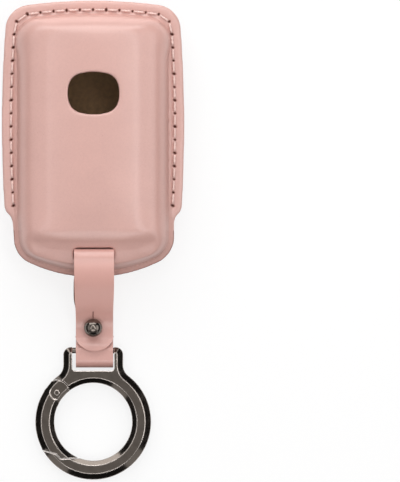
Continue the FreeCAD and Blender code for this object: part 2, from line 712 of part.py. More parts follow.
def gate_zone(play):
    # Plan of the gate: a round knuckle about the pin, and a lapped nose that lets it open inwards only
    middle = (size("ring_inner") + size("ring_outer")) / 2 + size("nose_lap_offset")
    nose = ((size("ring_outer"), size("nose_outer_angle")), (middle, size("nose_lap_start_angle")),
            (middle, size("nose_lap_end_angle")), (size("ring_inner") + size("ring_inner_bevel") / 2,
                                             size("nose_inner_angle")))
    points = [drawn_in(polar(ring_centre, radius, angle), play) for radius, angle in nose]
    past = size("ring_outer") - size("ring_inner")
    outer_end = points[0] + (points[0] - points[1]).normalize() * past
    inner_end = points[3] + (points[3] - points[2]).normalize() * past
    round_end = size("knuckle") - play
    high = at_pin(0, round_end)
    low = at_pin(0, -round_end)
    aside = polar(ring_centre, size("ring_outer") * 1.4, (size("pin_angle") + size("nose_outer_angle")) / 2)
    run = [high, aside, outer_end] + points[1:3] + [inner_end, low]
    edges = [line(first, last) for first, last in zip(run, run[1:])]
    start = direction_of(pin, low)
    return edges + [arc(pin, round_end, start, start + 180)]


def drawn_in(point, play):
    # Nearer to the pin, and turned the way the gate opens, by the play
    reach = (point - pin).Length
    return polar(pin, reach - play, direction_of(pin, point) + math.degrees(play / reach))


def edges_of_level(shape, height, is_bore):
    names = []
    for number, edge in enumerate(shape.Edges, start=1):
        box = edge.BoundBox
        if abs(box.ZMin - height) > 1e-6 or abs(box.ZMax - height) > 1e-6:
            continue
        middle = edge.valueAt((edge.FirstParameter + edge.LastParameter) / 2)
        bore_edge = edge.Curve.TypeId == "Part::GeomCircle" and abs(edge.Curve.Radius - size("ring_inner")) < 1e-6
        notch = abs(middle.x) < size("eye_width") / 2 + 1e-6 and middle.y > ring_y + size("ring_inner")
        if bore_edge == is_bore and not notch:
            names.append(f"Edge{number}")
    return names


def flat_area(shape, height):
    return sum(face.Area for face in shape.Faces
               if abs(face.BoundBox.ZMin - height) < 1e-6 and abs(face.BoundBox.ZMax - height) < 1e-6)


def bevel(body, name, base, height, is_bore, alias):
    # The bevel is wider than it is deep, so of its two directions the one that leaves the smaller flat is kept
    chamfer = body.newObject("PartDesign::Chamfer", name)
    chamfer.Base = (base, edges_of_level(base.Shape, height, is_bore))
    chamfer.ChamferType = "Two distances"
    chamfer.setExpression("Size", "sizes." + alias)
    chamfer.setExpression("Size2", f"sizes.{alias} * sizes.ring_bevel_ratio")
    body.Tip = chamfer
    areas = []
    for flipped in (False, True):
        chamfer.FlipDirection = flipped
        doc.recompute()
        areas.append(flat_area(chamfer.Shape, height))
    chamfer.FlipDirection = areas[1] < areas[0]
    doc.recompute()
    return chamfer


def make_ring_frame():
    body = new_body("ring_frame")
    plan = sketch_on(body, "ring_plan", frame_outline() + circle(ring_centre, size("ring_inner")))
    blank = feature_on(body, "Pad", "ring_blank", plan, Length="sizes.ring_height")
    top = size("ring_height")
    beveled = bevel(body, "ring_outer_front", blank, top, False, "ring_outer_bevel")
    beveled = bevel(body, "ring_outer_back", beveled, 0, False, "ring_outer_bevel")
    beveled = bevel(body, "ring_inner_front", beveled, top, True, "ring_inner_bevel")
    bevel(body, "ring_inner_back", beveled, 0, True, "ring_inner_bevel")
    bar = sketch_on(body, "eye_bar_section", circle(V(bar_y, ring_z, 0), size("bar_radius")), "YZ_Plane")
    feature_on(body, "Pad", "eye_bar", bar, SideType="Symmetric", Length="sizes.eye_width + sizes.eye_arm / 2")
    pocket_through(body, "gate_opening", gate_zone(0), height=RING_Z, reach="sizes.ring_height")
    radius = size("tongue")
    back = -size("knuckle") - size("tongue") / 2
    corners = [at_pin(0, radius), at_pin(back, radius), at_pin(back, -radius), at_pin(0, -radius)]
    start = direction_of(pin, corners[3])
    plan = [line(first, last) for first, last in zip(corners, corners[1:])] + [arc(pin, radius, start, start + 180)]
    tongue = sketch_on(body, "tongue_plan", plan, height=RING_Z)
    feature_on(body, "Pad", "tongue", tongue, SideType="Symmetric", Length="sizes.tongue_height")
    hole = circle(pin, size("pin_radius") + size("pin_play"))
    pocket_through(body, "tongue_hole", hole, height=RING_Z, reach="sizes.ring_height")
    return body


def ring_section():
    inner, outer, top = size("ring_inner"), size("ring_outer"), size("ring_height")
    inner_bevel, outer_bevel = size("ring_inner_bevel"), size("ring_outer_bevel")
    inner_depth, outer_depth = inner_bevel * size("ring_bevel_ratio"), outer_bevel * size("ring_bevel_ratio")
    return closed_lines(((inner, inner_depth), (inner + inner_bevel, 0), (outer - outer_bevel, 0),
                         (outer, outer_depth), (outer, top - outer_depth), (outer - outer_bevel, top),
                         (inner + inner_bevel, top), (inner, top - inner_depth)))


def in_gate_frame(edges):
    # The gate's body stands on the ring's centre
    moved = []
    for edge in edges:
        shifted = edge.copy()
        shifted.translate(ring_centre * -1)
        moved.append(shifted)
    return moved


def make_gate():
    body = turned_body("gate", ring_section(), 0, ring_y)
    around = circle(V(0, 0, 0), size("ring_outer") * 3)
    pocket_through(body, "gate_ends", around + in_gate_frame(gate_zone(size("gate_play"))), height=RING_Z,
                   reach="sizes.ring_height")
    slot = in_gate_frame(circle(pin, size("fork_reach")))
    sketch = sketch_on(body, "gate_fork_sketch", slot, height=RING_Z)
    feature_on(body, "Pocket", "gate_fork", sketch, SideType="Symmetric",
               Length="sizes.tongue_height + 2 * sizes.fork_play")
    boss = size("fork_boss")
    far = size("knuckle") + boss
    high, low = at_pin(0, boss), at_pin(0, -boss)
    high_far, low_far = at_pin(0, far), at_pin(0, -far)
    start = direction_of(pin, low)
    step = in_gate_frame([arc(pin, boss, start, start - 180), line(high, high_far),
                          arc(pin, far, start + 180, start), line(low_far, low)])
    pocket_into(body, "gate_step_front", step, "sizes.ring_height", "sizes.cheek_recess", False)
    pocket_into(body, "gate_step_back", step, "0 * sizes.ring_height", "sizes.cheek_recess", True)
    hole = in_gate_frame(circle(pin, size("pin_radius")))
    pocket_through(body, "gate_hole", hole, height=RING_Z, reach="sizes.ring_height")
    return body


def make_gate_pin():
    low = size("cheek_recess")
    high = size("ring_height") - size("cheek_recess")
    shank, head, crown = size("pin_radius"), size("rivet_head"), size("rivet_crown")
    corners = ((0, low - crown), (shank, low - crown), (head, low), (shank, low), (shank, high), (head, high),
               (shank, high + crown), (0, high + crown))
    return turned_body("gate_pin", closed_lines(corners), pin.x, pin.y)


def make_gate_spring():
    # A coil between the tongue's round end and the far end of the gate's slot, on the bore's side of the pin
    offset = size("spring_offset")
    wire = size("spring_wire")
    edge = size("spring_coil") + wire
    near = math.sqrt(size("tongue") ** 2 - max(offset - edge, 0) ** 2) + size("spring_play") + wire
    far = math.sqrt(size("fork_reach") ** 2 - (offset + edge) ** 2) - size("spring_play") - wire
    length = far - near
    helix = Part.makeHelix(length / size("spring_turns"), length, size("spring_coil"))
    start = helix.Edges[0].valueAt(helix.Edges[0].FirstParameter)
    tangent = helix.Edges[0].tangentAt(helix.Edges[0].FirstParameter)
    section = Part.Wire([Part.makeCircle(wire, start, tangent)])
    coil = Part.Wire(helix).makePipeShell([section], True, True)
    spring = doc.addObject("Part::Feature", "gate_spring")
    spring.Label = "gate_spring"
    spring.Shape = coil
    base = at_pin(near, -offset)
    turn = FreeCAD.Rotation(V(0, 0, 1), gateward)
    spring.Placement = FreeCAD.Placement(V(base.x, base.y, ring_z), turn)
    return spring


SUB_PARTS = (
    make_shell("front_shell", 1, True),
    make_shell("back_shell", -1, False),
    make_lining("front_lining", 1, True),
    make_lining("back_lining", -1, False),
    make_thread("seam_thread_front", 1),
    make_thread("seam_thread_back", -1),
    make_strap_upper(),
    make_strap_flap(),
    make_strap_loop(),
    make_stud_head(),
    make_stud_screw(),
    make_ring_frame(),
    make_gate(),
    make_gate_pin(),
    make_gate_spring(),
)

doc.recompute()
failed = [item.Name for item in doc.Objects if "Invalid" in item.State or "Error" in item.State]
if failed:
    raise RuntimeError("objects that failed: " + ", ".join(failed))
for part in SUB_PARTS:
    if part.Shape.isNull() or not part.Shape.isValid():
        raise RuntimeError("bad shape: " + part.Label)

os.makedirs("parts", exist_ok=True)
for part in SUB_PARTS:
    part.Shape.exportStep(f"parts/{part.Label}.step")
    box = part.Shape.BoundBox
    print(part.Label, len(part.Shape.Solids), "solids", round(part.Shape.Volume, 2), "mm3",
          [round(value, 2) for value in (box.XMin, box.XMax, box.YMin, box.YMax, box.ZMin, box.ZMax)])
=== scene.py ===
"""Dresses the moulded leather key cover: shells, seams, lining, strap, stud, gate ring and stage."""

import math

import bpy
import numpy as np
from bpy.props import FloatProperty, FloatVectorProperty, IntProperty, PointerProperty
from mathutils import Matrix, Vector


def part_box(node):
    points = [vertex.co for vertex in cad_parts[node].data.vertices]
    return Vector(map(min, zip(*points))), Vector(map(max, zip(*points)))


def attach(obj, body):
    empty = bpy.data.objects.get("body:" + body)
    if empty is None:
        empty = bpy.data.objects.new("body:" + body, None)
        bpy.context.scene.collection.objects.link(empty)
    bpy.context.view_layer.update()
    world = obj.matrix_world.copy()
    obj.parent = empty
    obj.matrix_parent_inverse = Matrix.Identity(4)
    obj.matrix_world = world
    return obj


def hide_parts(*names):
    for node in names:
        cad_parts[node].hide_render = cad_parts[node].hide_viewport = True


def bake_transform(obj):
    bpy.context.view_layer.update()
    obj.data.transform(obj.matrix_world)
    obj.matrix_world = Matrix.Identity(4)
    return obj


bl_info = {
    "name": "Leather key cover",
    "version": (1, 0, 0),
    "blender": (4, 5, 0),
    "location": "View3D > Sidebar > Key cover",
    "description": "Models the leather, thread and metal of a key cover round its packed frame",
    "category": "Object",
}

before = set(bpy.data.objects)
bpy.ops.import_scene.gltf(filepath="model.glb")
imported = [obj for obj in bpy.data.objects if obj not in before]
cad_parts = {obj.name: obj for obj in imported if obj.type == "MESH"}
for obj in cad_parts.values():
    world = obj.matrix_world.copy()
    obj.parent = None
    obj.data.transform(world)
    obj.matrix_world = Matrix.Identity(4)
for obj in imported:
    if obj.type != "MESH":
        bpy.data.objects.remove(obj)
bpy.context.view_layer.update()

MM = 0.001
PHOTO_WIDTH = 400
PHOTO_HEIGHT = 482

# Where the flanges' faces, the stud and the case's middle stand, read from the frame
THREAD_GAP = 0.05 * MM
FRONT_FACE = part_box("seam_thread_front")[0].z - THREAD_GAP
BACK_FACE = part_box("seam_thread_back")[1].z + THREAD_GAP
STUD = (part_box("stud_head")[0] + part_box("stud_head")[1]) / 2
CASE_MIDDLE = np.array((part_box("front_shell")[0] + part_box("front_shell")[1]) / 2)

# Edges that turn by more than this stay sharp
SHARP_ANGLE = math.radians(30)
STRAP_SHARP_ANGLE = math.radians(50)

# Further than any place on the cover
FAR = 1.0


class LeatherSettings(bpy.types.PropertyGroup):
    """Sizes and colours of the shells, the lining and the strap"""

    colour: FloatVectorProperty(
        name="Leather", description="Dyed leather of the shells", subtype="COLOR",
        size=4, default=(0.605, 0.354, 0.312, 1.0))
    strap: FloatVectorProperty(
        name="Strap leather", description="Dyed leather of the strap, a shade deeper", subtype="COLOR",
        size=4, default=(0.63, 0.35, 0.307, 1.0))
    # Painted shade: this dark colour is put in the needle holes, at the walls' feet and on the strap's back
    # layer; on the mouth's cut edges it is partly their own darker colour
    edge: FloatVectorProperty(
        name="Pierced leather", description="Raw leather inside the needle holes", subtype="COLOR",
        size=4, default=(0.09, 0.034, 0.027, 1.0))
    lining: FloatVectorProperty(
        name="Lining", description="Suede glued inside the shells", subtype="COLOR",
        size=4, default=(0.26, 0.15, 0.072, 1.0))
    mesh_step: FloatProperty(
        name="Mesh step", description="Size of the faces of the moulded shells", unit="LENGTH",
        default=0.4 * MM)
    needle_depth: FloatProperty(
        name="Needle hole", description="How deep the thread pulls the leather in at a hole", unit="LENGTH",
        default=0.7 * MM)
    needle_radius: FloatProperty(
        name="Needle hole radius", description="Reach of the dimple round a hole", unit="LENGTH",
        default=0.5 * MM)
    groove_depth: FloatProperty(
        name="Seam groove", description="How far a stitch presses into the flange", unit="LENGTH",
        default=0.14 * MM)
    pucker: FloatProperty(
        name="Pucker", description="How far the wall's foot is drawn in beside a hole", unit="LENGTH",
        default=0.25 * MM)
    ripple: FloatProperty(
        name="Hand-moulded ripple", description="Unevenness of the moulded surface", unit="LENGTH",
        default=0.1 * MM)
    crease_depth: FloatProperty(
        name="Crease", description="Step where the lower slope leaves the flat face", unit="LENGTH",
        default=1.3 * MM)
    shoulder: FloatProperty(
        name="Shoulder", description="How far the front's long edges stand up", unit="LENGTH",
        default=0.55 * MM)
    crown: FloatProperty(
        name="Crown", description="How far the front's middle stands up", unit="LENGTH",
        default=0.45 * MM)
    crown_radius: FloatProperty(
        name="Crown radius", description="Radius of the front's gentle curve across", unit="LENGTH",
        default=100 * MM)
    foot: FloatProperty(
        name="Wall foot", description="How far the walls' feet stand in from the flange", unit="LENGTH",
        default=0.6 * MM)
    lip: FloatProperty(
        name="Left lip", description="How far the left end of the mouth draws in", unit="LENGTH",
        default=0.55 * MM)
    window_offset: FloatProperty(
        name="Window offset", description="How far the window stands to the right", unit="LENGTH",
        default=0.25 * MM)
    slot_offset: FloatProperty(
        name="Slot offset", description="How far the slot and strap stand to the right", unit="LENGTH",
        default=0.38 * MM)
    strap_width: FloatProperty(
        name="Strap width", description="Across the strap", unit="LENGTH",
        default=11.3 * MM)
    strap_thickness: FloatProperty(
        name="Strap thickness", description="Leather of the strap", unit="LENGTH",
        default=1.3 * MM)
    strap_drift: FloatProperty(
        name="Strap drift", description="How far the back layer lies to one side", unit="LENGTH",
        default=0.7 * MM)


class ThreadSettings(bpy.types.PropertyGroup):
    """Size and colour of the seam's thread"""

    colour: FloatVectorProperty(
        name="Thread", description="Waxed thread", subtype="COLOR",
        size=4, default=(0.80, 0.575, 0.525, 1.0))
    radius: FloatProperty(
        name="Thread radius", description="Half the thickness of the thread", unit="LENGTH",
        default=0.33 * MM)
    sides: IntProperty(name="Sides", description="Faces round the thread", default=10, min=6)
    rings: IntProperty(name="Rings", description="Steps along one stitch", default=12, min=6)


class MetalSettings(bpy.types.PropertyGroup):
    """Finish of the ring, gate, stud and spring"""

    colour: FloatVectorProperty(
        name="Black nickel", description="Plating of the ring and stud", subtype="COLOR",
        size=4, default=(0.165, 0.142, 0.124, 1.0))
    # Painted highlight: this bright colour is put on the rounded edges to stand for their bright lines of
    # reflection
    edge_highlight: FloatVectorProperty(
        name="Polished edge", description="Edges where the plating is worn bright", subtype="COLOR",
        size=4, default=(0.76, 0.69, 0.65, 1.0))
    spring: FloatVectorProperty(
        name="Spring wire", description="Bright wire of the gate spring", subtype="COLOR",
        size=4, default=(0.55, 0.55, 0.56, 1.0))
    edge_radius: FloatProperty(
        name="Edge rounding", description="Polished edges of the metal", unit="LENGTH",
        default=0.38 * MM)


class StageSettings(bpy.types.PropertyGroup):
    """Floor, lamps and camera"""

    floor: FloatVectorProperty(
        name="Floor", description="Pale floor", subtype="COLOR",
        size=4, default=(0.92, 0.92, 0.92, 1.0))
    photo_scale: FloatProperty(
        name="Photo scale", description="Length on the object for each pixel of the photograph",
        unit="LENGTH", precision=6, default=0.294 * MM)
    axis_pixel: FloatProperty(
        name="Axis pixel", description="Column of the photograph where the cover's axis stands",
        subtype="PIXEL", default=93.0)
    middle_pixel: FloatProperty(
        name="Middle pixel", description="Row of the photograph where the cover's middle lies",
        subtype="PIXEL", default=240.25)
    camera_height: FloatProperty(
        name="Camera height", description="Camera above the flange", unit="LENGTH",
        default=4.0)


class KeyCoverSettings(bpy.types.PropertyGroup):
    """All settings of the key cover"""

    leather: PointerProperty(type=LeatherSettings)
    thread: PointerProperty(type=ThreadSettings)
    metal: PointerProperty(type=MetalSettings)
    stage: PointerProperty(type=StageSettings)


def settings():
    return bpy.context.scene.key_cover


# Handling of objects and meshes
def pick(*pieces):
    if bpy.context.mode != "OBJECT":
        bpy.ops.object.mode_set(mode="OBJECT")
    bpy.ops.object.select_all(action="DESELECT")
    for piece in pieces:
        piece.select_set(True)
    bpy.context.view_layer.objects.active = pieces[0]


def edit_all(piece):
    pick(piece)
    bpy.ops.object.mode_set(mode="EDIT")
    bpy.ops.mesh.select_all(action="SELECT")


def end_edit():
    bpy.ops.object.mode_set(mode="OBJECT")


def with_modifier(piece, kind, **values):
    modifier = piece.modifiers.new(kind.title(), kind)
    for key, value in values.items():
        setattr(modifier, key, value)
    pick(piece)
    bpy.ops.object.modifier_apply(modifier=modifier.name)


def merged_copy(node, name):
    piece = bpy.data.objects.new(name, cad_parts[node].data.copy())
    bpy.context.collection.objects.link(piece)
    piece.data.materials.clear()
    edit_all(piece)
    bpy.ops.mesh.remove_doubles(threshold=0.001 * MM)
    end_edit()
    bpy.ops.mesh.customdata_custom_splitnormals_clear()
    return piece


def triples(items, value):
    flat = np.empty(len(items) * 3)
    items.foreach_get(value, flat)
    return flat.reshape(-1, 3)


def points_of(piece):
    return triples(piece.data.vertices, "co")


def normals_of(piece):
    return triples(piece.data.vertices, "normal")


def face_centres(piece):
    return triples(piece.data.polygons, "center")


def move_points(piece, points):
    piece.data.vertices.foreach_set("co", np.ascontiguousarray(points).ravel())
    piece.data.update()


def select_faces(piece, chosen):
    edit_all(piece)
    bpy.ops.mesh.select_mode(type="FACE")
    bpy.ops.mesh.select_all(action="DESELECT")
    end_edit()
    piece.data.polygons.foreach_set("select", chosen)
    bpy.ops.object.mode_set(mode="EDIT")


def smooth_by_angle(piece, angle):
    pick(piece)
    bpy.ops.object.shade_smooth_by_angle(angle=angle)


def mark(piece, name, shares):
    attribute = piece.data.attributes.new(name, "FLOAT", "POINT")
    attribute.data.foreach_set("value", shares.astype(np.float32))


def finish_piece(piece, material, body, slot, *nodes):
    piece.data.materials.clear()
    piece.data.materials.append(material)
    if body:
        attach(piece, body)
    if nodes:
        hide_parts(*nodes)
    return piece


def distance_to_run(points, middle, along, half):
    """How far points lie from a straight run, seen from above."""
    offset = points[:, :2] - middle[:2]
    travel = np.clip(offset @ along[:2], -half, half)
    return np.linalg.norm(offset - travel[:, None] * along[:2], axis=1)


# Shares from 0 to 1 that shape the leather and place its painted light and shade
def eased(distance, reach):
    share = np.clip(distance / reach, 0, 1)
    return share * share * (3 - 2 * share)


def rising(value, start, run):
    return eased(value - start, run)


def falling(value, end, run):
    return eased(end - value, run)


def climb(distance, run, power):
    return np.clip(distance / run, 0, 1) ** power


def hump(value, middle, reach, power):
    return np.exp(-(((value - middle) / reach) ** power))


# Building blocks of the materials; the mix node's colour sockets are taken by their places
FIRST_COLOUR = 6
SECOND_COLOUR = 7
MIXED_COLOUR = 2


def new_material(name):
    material = bpy.data.materials.new(name)
    material.use_nodes = True
    tree = material.node_tree
    shader = tree.nodes["Principled BSDF"]
    place = tree.nodes.new("ShaderNodeTexCoord").outputs["Object"]
    return material, tree, shader, place


def feed(tree, value, socket):
    """Link another node's output to a socket, or set a plain value there."""
    if hasattr(value, "links"):
        tree.links.new(value, socket)
    else:
        socket.default_value = value


def noise(tree, place, scale, detail):
    node = tree.nodes.new("ShaderNodeTexNoise")
    tree.links.new(place, node.inputs["Vector"])
    node.inputs["Scale"].default_value = scale
    node.inputs["Detail"].default_value = detail
    return node.outputs["Fac"]


def cells(tree, place, scale):
    node = tree.nodes.new("ShaderNodeTexVoronoi")
    tree.links.new(place, node.inputs["Vector"])
    node.inputs["Scale"].default_value = scale
    return node.outputs["Distance"]


def marked(tree, name):
    node = tree.nodes.new("ShaderNodeAttribute")
    node.attribute_name = name
    return node.outputs["Fac"]


def ranged(tree, value, low, high, from_low=0.3, from_high=0.7):
    node = tree.nodes.new("ShaderNodeMapRange")
    tree.links.new(value, node.inputs["Value"])
    node.inputs["From Min"].default_value = from_low
    node.inputs["From Max"].default_value = from_high
    node.inputs["To Min"].default_value = low
    node.inputs["To Max"].default_value = high
    return node.outputs["Result"]


def mixed(tree, factor, first, second):
    node = tree.nodes.new("ShaderNodeMix")
    node.data_type = "RGBA"
    tree.links.new(factor, node.inputs["Factor"])
    feed(tree, first, node.inputs[FIRST_COLOUR])
    feed(tree, second, node.inputs[SECOND_COLOUR])
    return node.outputs[MIXED_COLOUR]


def bumped(tree, shader, height, strength, distance, under=None):
    node = tree.nodes.new("ShaderNodeBump")
    node.inputs["Strength"].default_value = strength
    node.inputs["Distance"].default_value = distance
    tree.links.new(height, node.inputs["Height"])
    if under:
        tree.links.new(under, node.inputs["Normal"])
    tree.links.new(node.outputs["Normal"], shader.inputs["Normal"])
    return node.outputs["Normal"]


def calculated(tree, operation, first, second):
    node = tree.nodes.new("ShaderNodeMath")
    node.operation = operation
    feed(tree, first, node.inputs[0])
    feed(tree, second, node.inputs[1])
    return node.outputs[0]


def shade(colour, share):
    return (colour[0] * share, colour[1] * share, colour[2] * share, 1.0)


def shades(tree, pattern, colour, dark, light):
    """A colour that wanders between two shades of itself as the pattern does."""
    return mixed(tree, ranged(tree, pattern, low=0.0, high=1.0), shade(colour, dark), shade(colour, light))


# Finishes
LEATHER_SHINE = 0.8
PAINTED_LIGHT_SHARE = 1.4
NAP_SHADE = 1.25


def leather_finish(name, colour):
    """Dyed leather with pores and grain; marked places get painted light, paler, or painted shade, dark and
    dull.
    """
    material, tree, shader, place = new_material(name)
    clouds = noise(tree, place, scale=70.0, detail=3.0)
    pores = cells(tree, place, scale=1500.0)
    grain = noise(tree, place, scale=5200.0, detail=2.0)
    smooth_tone = shades(tree, clouds, colour, dark=0.965, light=1.03)
    pore_tone = shades(tree, clouds, colour, dark=0.93, light=0.99)
    pore_share = ranged(tree, pores, low=0.0, high=1.0, from_low=0.1, from_high=0.9)
    tone = mixed(tree, pore_share, smooth_tone, pore_tone)
    # Painted light: marked places are made paler, as if lit more
    tone = mixed(tree, marked(tree, "painted_light"), tone, shade(colour, PAINTED_LIGHT_SHARE))
    # Painted shade, dark and with less shine, where marked; on the mouth's cut edges it is partly their own
    # darker colour
    painted_shade_and_cut_edge = marked(tree, "painted_shade_and_cut_edge")
    tone = mixed(tree, painted_shade_and_cut_edge, tone, settings().leather.edge)
    tree.links.new(tone, shader.inputs["Base Color"])
    tree.links.new(ranged(tree, grain, low=0.27, high=0.33), shader.inputs["Roughness"])
    shine = ranged(tree, painted_shade_and_cut_edge, low=LEATHER_SHINE, high=0.0, from_low=0.0, from_high=0.12)
    shader.inputs["Specular IOR Level"].default_value = LEATHER_SHINE
    tree.links.new(shine, shader.inputs["Specular IOR Level"])
    shader.inputs["Sheen Weight"].default_value = 0.05
    shader.inputs["Sheen Roughness"].default_value = 0.4
    pitted = bumped(tree, shader, pores, strength=0.10, distance=0.05 * MM)
    bumped(tree, shader, grain, strength=0.08, distance=0.03 * MM, under=pitted)
    return material


def suede_finish(name, colour):
    material, tree, shader, place = new_material(name)
    nap = noise(tree, place, scale=900.0, detail=4.0)
    streaks = noise(tree, place, scale=110.0, detail=2.0)
    tone = shades(tree, streaks, colour, dark=0.75, light=1.0)
    tone = mixed(tree, ranged(tree, nap, low=0.0, high=1.0), tone, shade(colour, NAP_SHADE))
    tree.links.new(tone, shader.inputs["Base Color"])
    tree.links.new(ranged(tree, nap, low=0.8, high=0.95), shader.inputs["Roughness"])
    shader.inputs["Sheen Weight"].default_value = 0.25
    bumped(tree, shader, nap, strength=0.5, distance=0.1 * MM)
    return material


def thread_finish(name, colour):
    material, tree, shader, place = new_material(name)
    fibre = noise(tree, place, scale=6000.0, detail=3.0)
    tree.links.new(shades(tree, fibre, colour, dark=0.86, light=1.06), shader.inputs["Base Color"])
    tree.links.new(ranged(tree, fibre, low=0.5, high=0.7), shader.inputs["Roughness"])
    shader.inputs["Sheen Weight"].default_value = 0.15
    bumped(tree, shader, fibre, strength=0.35, distance=0.05 * MM)
    return material


def metal_finish(name, colour, smoothest, dullest, edge_radius):
    """Plated metal with a painted highlight: a bright colour where its rounded edges turn away from the
    faces.
    """
    material, tree, shader, place = new_material(name)
    wear = noise(tree, place, scale=420.0, detail=4.0)
    hairlines = noise(tree, place, scale=3800.0, detail=2.0)
    tone = shades(tree, wear, colour, dark=0.9, light=1.08)
    tree.links.new(ranged(tree, wear, low=smoothest, high=dullest), shader.inputs["Roughness"])
    shader.inputs["Metallic"].default_value = 1.0
    edges = tree.nodes.new("ShaderNodeBevel")
    edges.samples = 8
    edges.inputs["Radius"].default_value = edge_radius
    facing = tree.nodes.new("ShaderNodeVectorMath")
    facing.operation = "DOT_PRODUCT"
    tree.links.new(edges.outputs["Normal"], facing.inputs[0])
    tree.links.new(tree.nodes.new("ShaderNodeNewGeometry").outputs["Normal"], facing.inputs[1])
    # Painted highlight: the rounded edges take the bright colour, for bright lines of reflection
    painted_edge_highlight = ranged(tree, facing.outputs["Value"], low=1.0, high=0.0, from_low=0.965, from_high=0.995)
    tree.links.new(mixed(tree, painted_edge_highlight, tone, settings().metal.edge_highlight), shader.inputs["Base Color"])
    bumped(tree, shader, hairlines, strength=0.03, distance=0.02 * MM, under=edges.outputs["Normal"])
    return material


def black_nickel():
    metal = settings().metal
    finish = bpy.data.materials.get("black_nickel")
    return finish or metal_finish(
        "black_nickel", metal.colour, smoothest=0.12, dullest=0.18, edge_radius=metal.edge_radius)


# Shells and seams
def stitch_places(node):
    """The middle, direction and half length of each stitch of a seam."""
    loose = merged_copy(node, "loose_stitches")
    edit_all(loose)
    bpy.ops.mesh.separate(type="LOOSE")
    end_edit()
    places = []
    for stitch in list(bpy.context.selected_objects):
        points = points_of(stitch)
        middle = points.mean(0)
        along = np.linalg.svd(points - middle, full_matrices=False)[2][0]
        reach = np.abs((points - middle) @ along).max()
        places.append((middle, along, reach))
        bpy.data.objects.remove(stitch)
    return places


def crease_share(across, along, height):
    """How deep each place is pressed in where the lower slope leaves the flat face."""
    crease_top = 3.2 * MM
    crease_foot = -2.9 * MM
    brim_height = 7.6 * MM
    press_share = 0.77
    settle_share = 0.23
    press = climb(crease_top - along, run=3.7 * MM, power=1.6)
    settle = 1 - climb(along - crease_foot, run=2.4 * MM, power=2)
    inside = falling(np.abs(across), end=23.0 * MM, run=7.0 * MM)
    brim = 1 - climb(brim_height - height, run=2.6 * MM, power=1.4)
    return (press_share * press + settle_share * settle) * inside * brim


def crown_height(across, along):
    """How far the flat face stands up in its middle and along its long edges."""
    leather = settings().leather
    bow = leather.crown - across ** 2 / (2 * leather.crown_radius)
    side = np.abs(across)
    edge = rising(side, start=14.5 * MM, run=6 * MM) * falling(side, end=23.5 * MM, run=3 * MM)
    ends = rising(along, start=1 * MM, run=9 * MM) * falling(along, end=66 * MM, run=9 * MM)
    return (bow + leather.shoulder * edge) * ends


def foot_step(across, along, height):
    """How far the walls' feet are drawn in towards the cover's spine."""
    spine_start = 10 * MM
    spine_end = 60 * MM
    shortest = 1 * MM
    spine = np.stack((np.zeros_like(along), np.clip(along, spine_start, spine_end)), axis=1)
    inward = spine - np.stack((across, along), axis=1)
    inward /= np.maximum(np.linalg.norm(inward, axis=1), shortest)[:, None]
    wall = rising(height, start=0.15 * MM, run=1.1 * MM) * falling(height, end=8 * MM, run=5.5 * MM)
    wall *= falling(along, end=60 * MM, run=8 * MM)
    return inward * (settings().leather.foot * wall)[:, None]


def hand_mould(piece, face, facing):
    """Crease and crown a shell or its lining, move its openings aside and draw in its feet and mouth."""
    leather = settings().leather
    points = points_of(piece)
    across = points[:, 0].copy()
    along = points[:, 1].copy()
    height = (points[:, 2] - face) * facing
    raised = rising(height, start=0.0, run=8.0 * MM)
    points[:, 2] -= facing * leather.crease_depth * crease_share(across, along, height)
    slot = hump(along, middle=-3.3 * MM, reach=4 * MM, power=4)
    slot *= hump(across, middle=0.0, reach=10 * MM, power=4)
    points[:, 0] += leather.slot_offset * slot * raised
    if facing > 0:
        points[:, 2] += crown_height(across, along) * raised
        window = hump(along, middle=43.2 * MM, reach=9 * MM, power=4)
        window *= hump(across, middle=0.0, reach=12 * MM, power=4)
        points[:, 0] += leather.window_offset * window * raised
    points[:, :2] += foot_step(across, along, height)
    mouth = hump(along, middle=0.4 * MM, reach=5 * MM, power=2) * falling(across, end=-16 * MM, run=5 * MM)
    points[:, 0] += leather.lip * mouth
    move_points(piece, points)


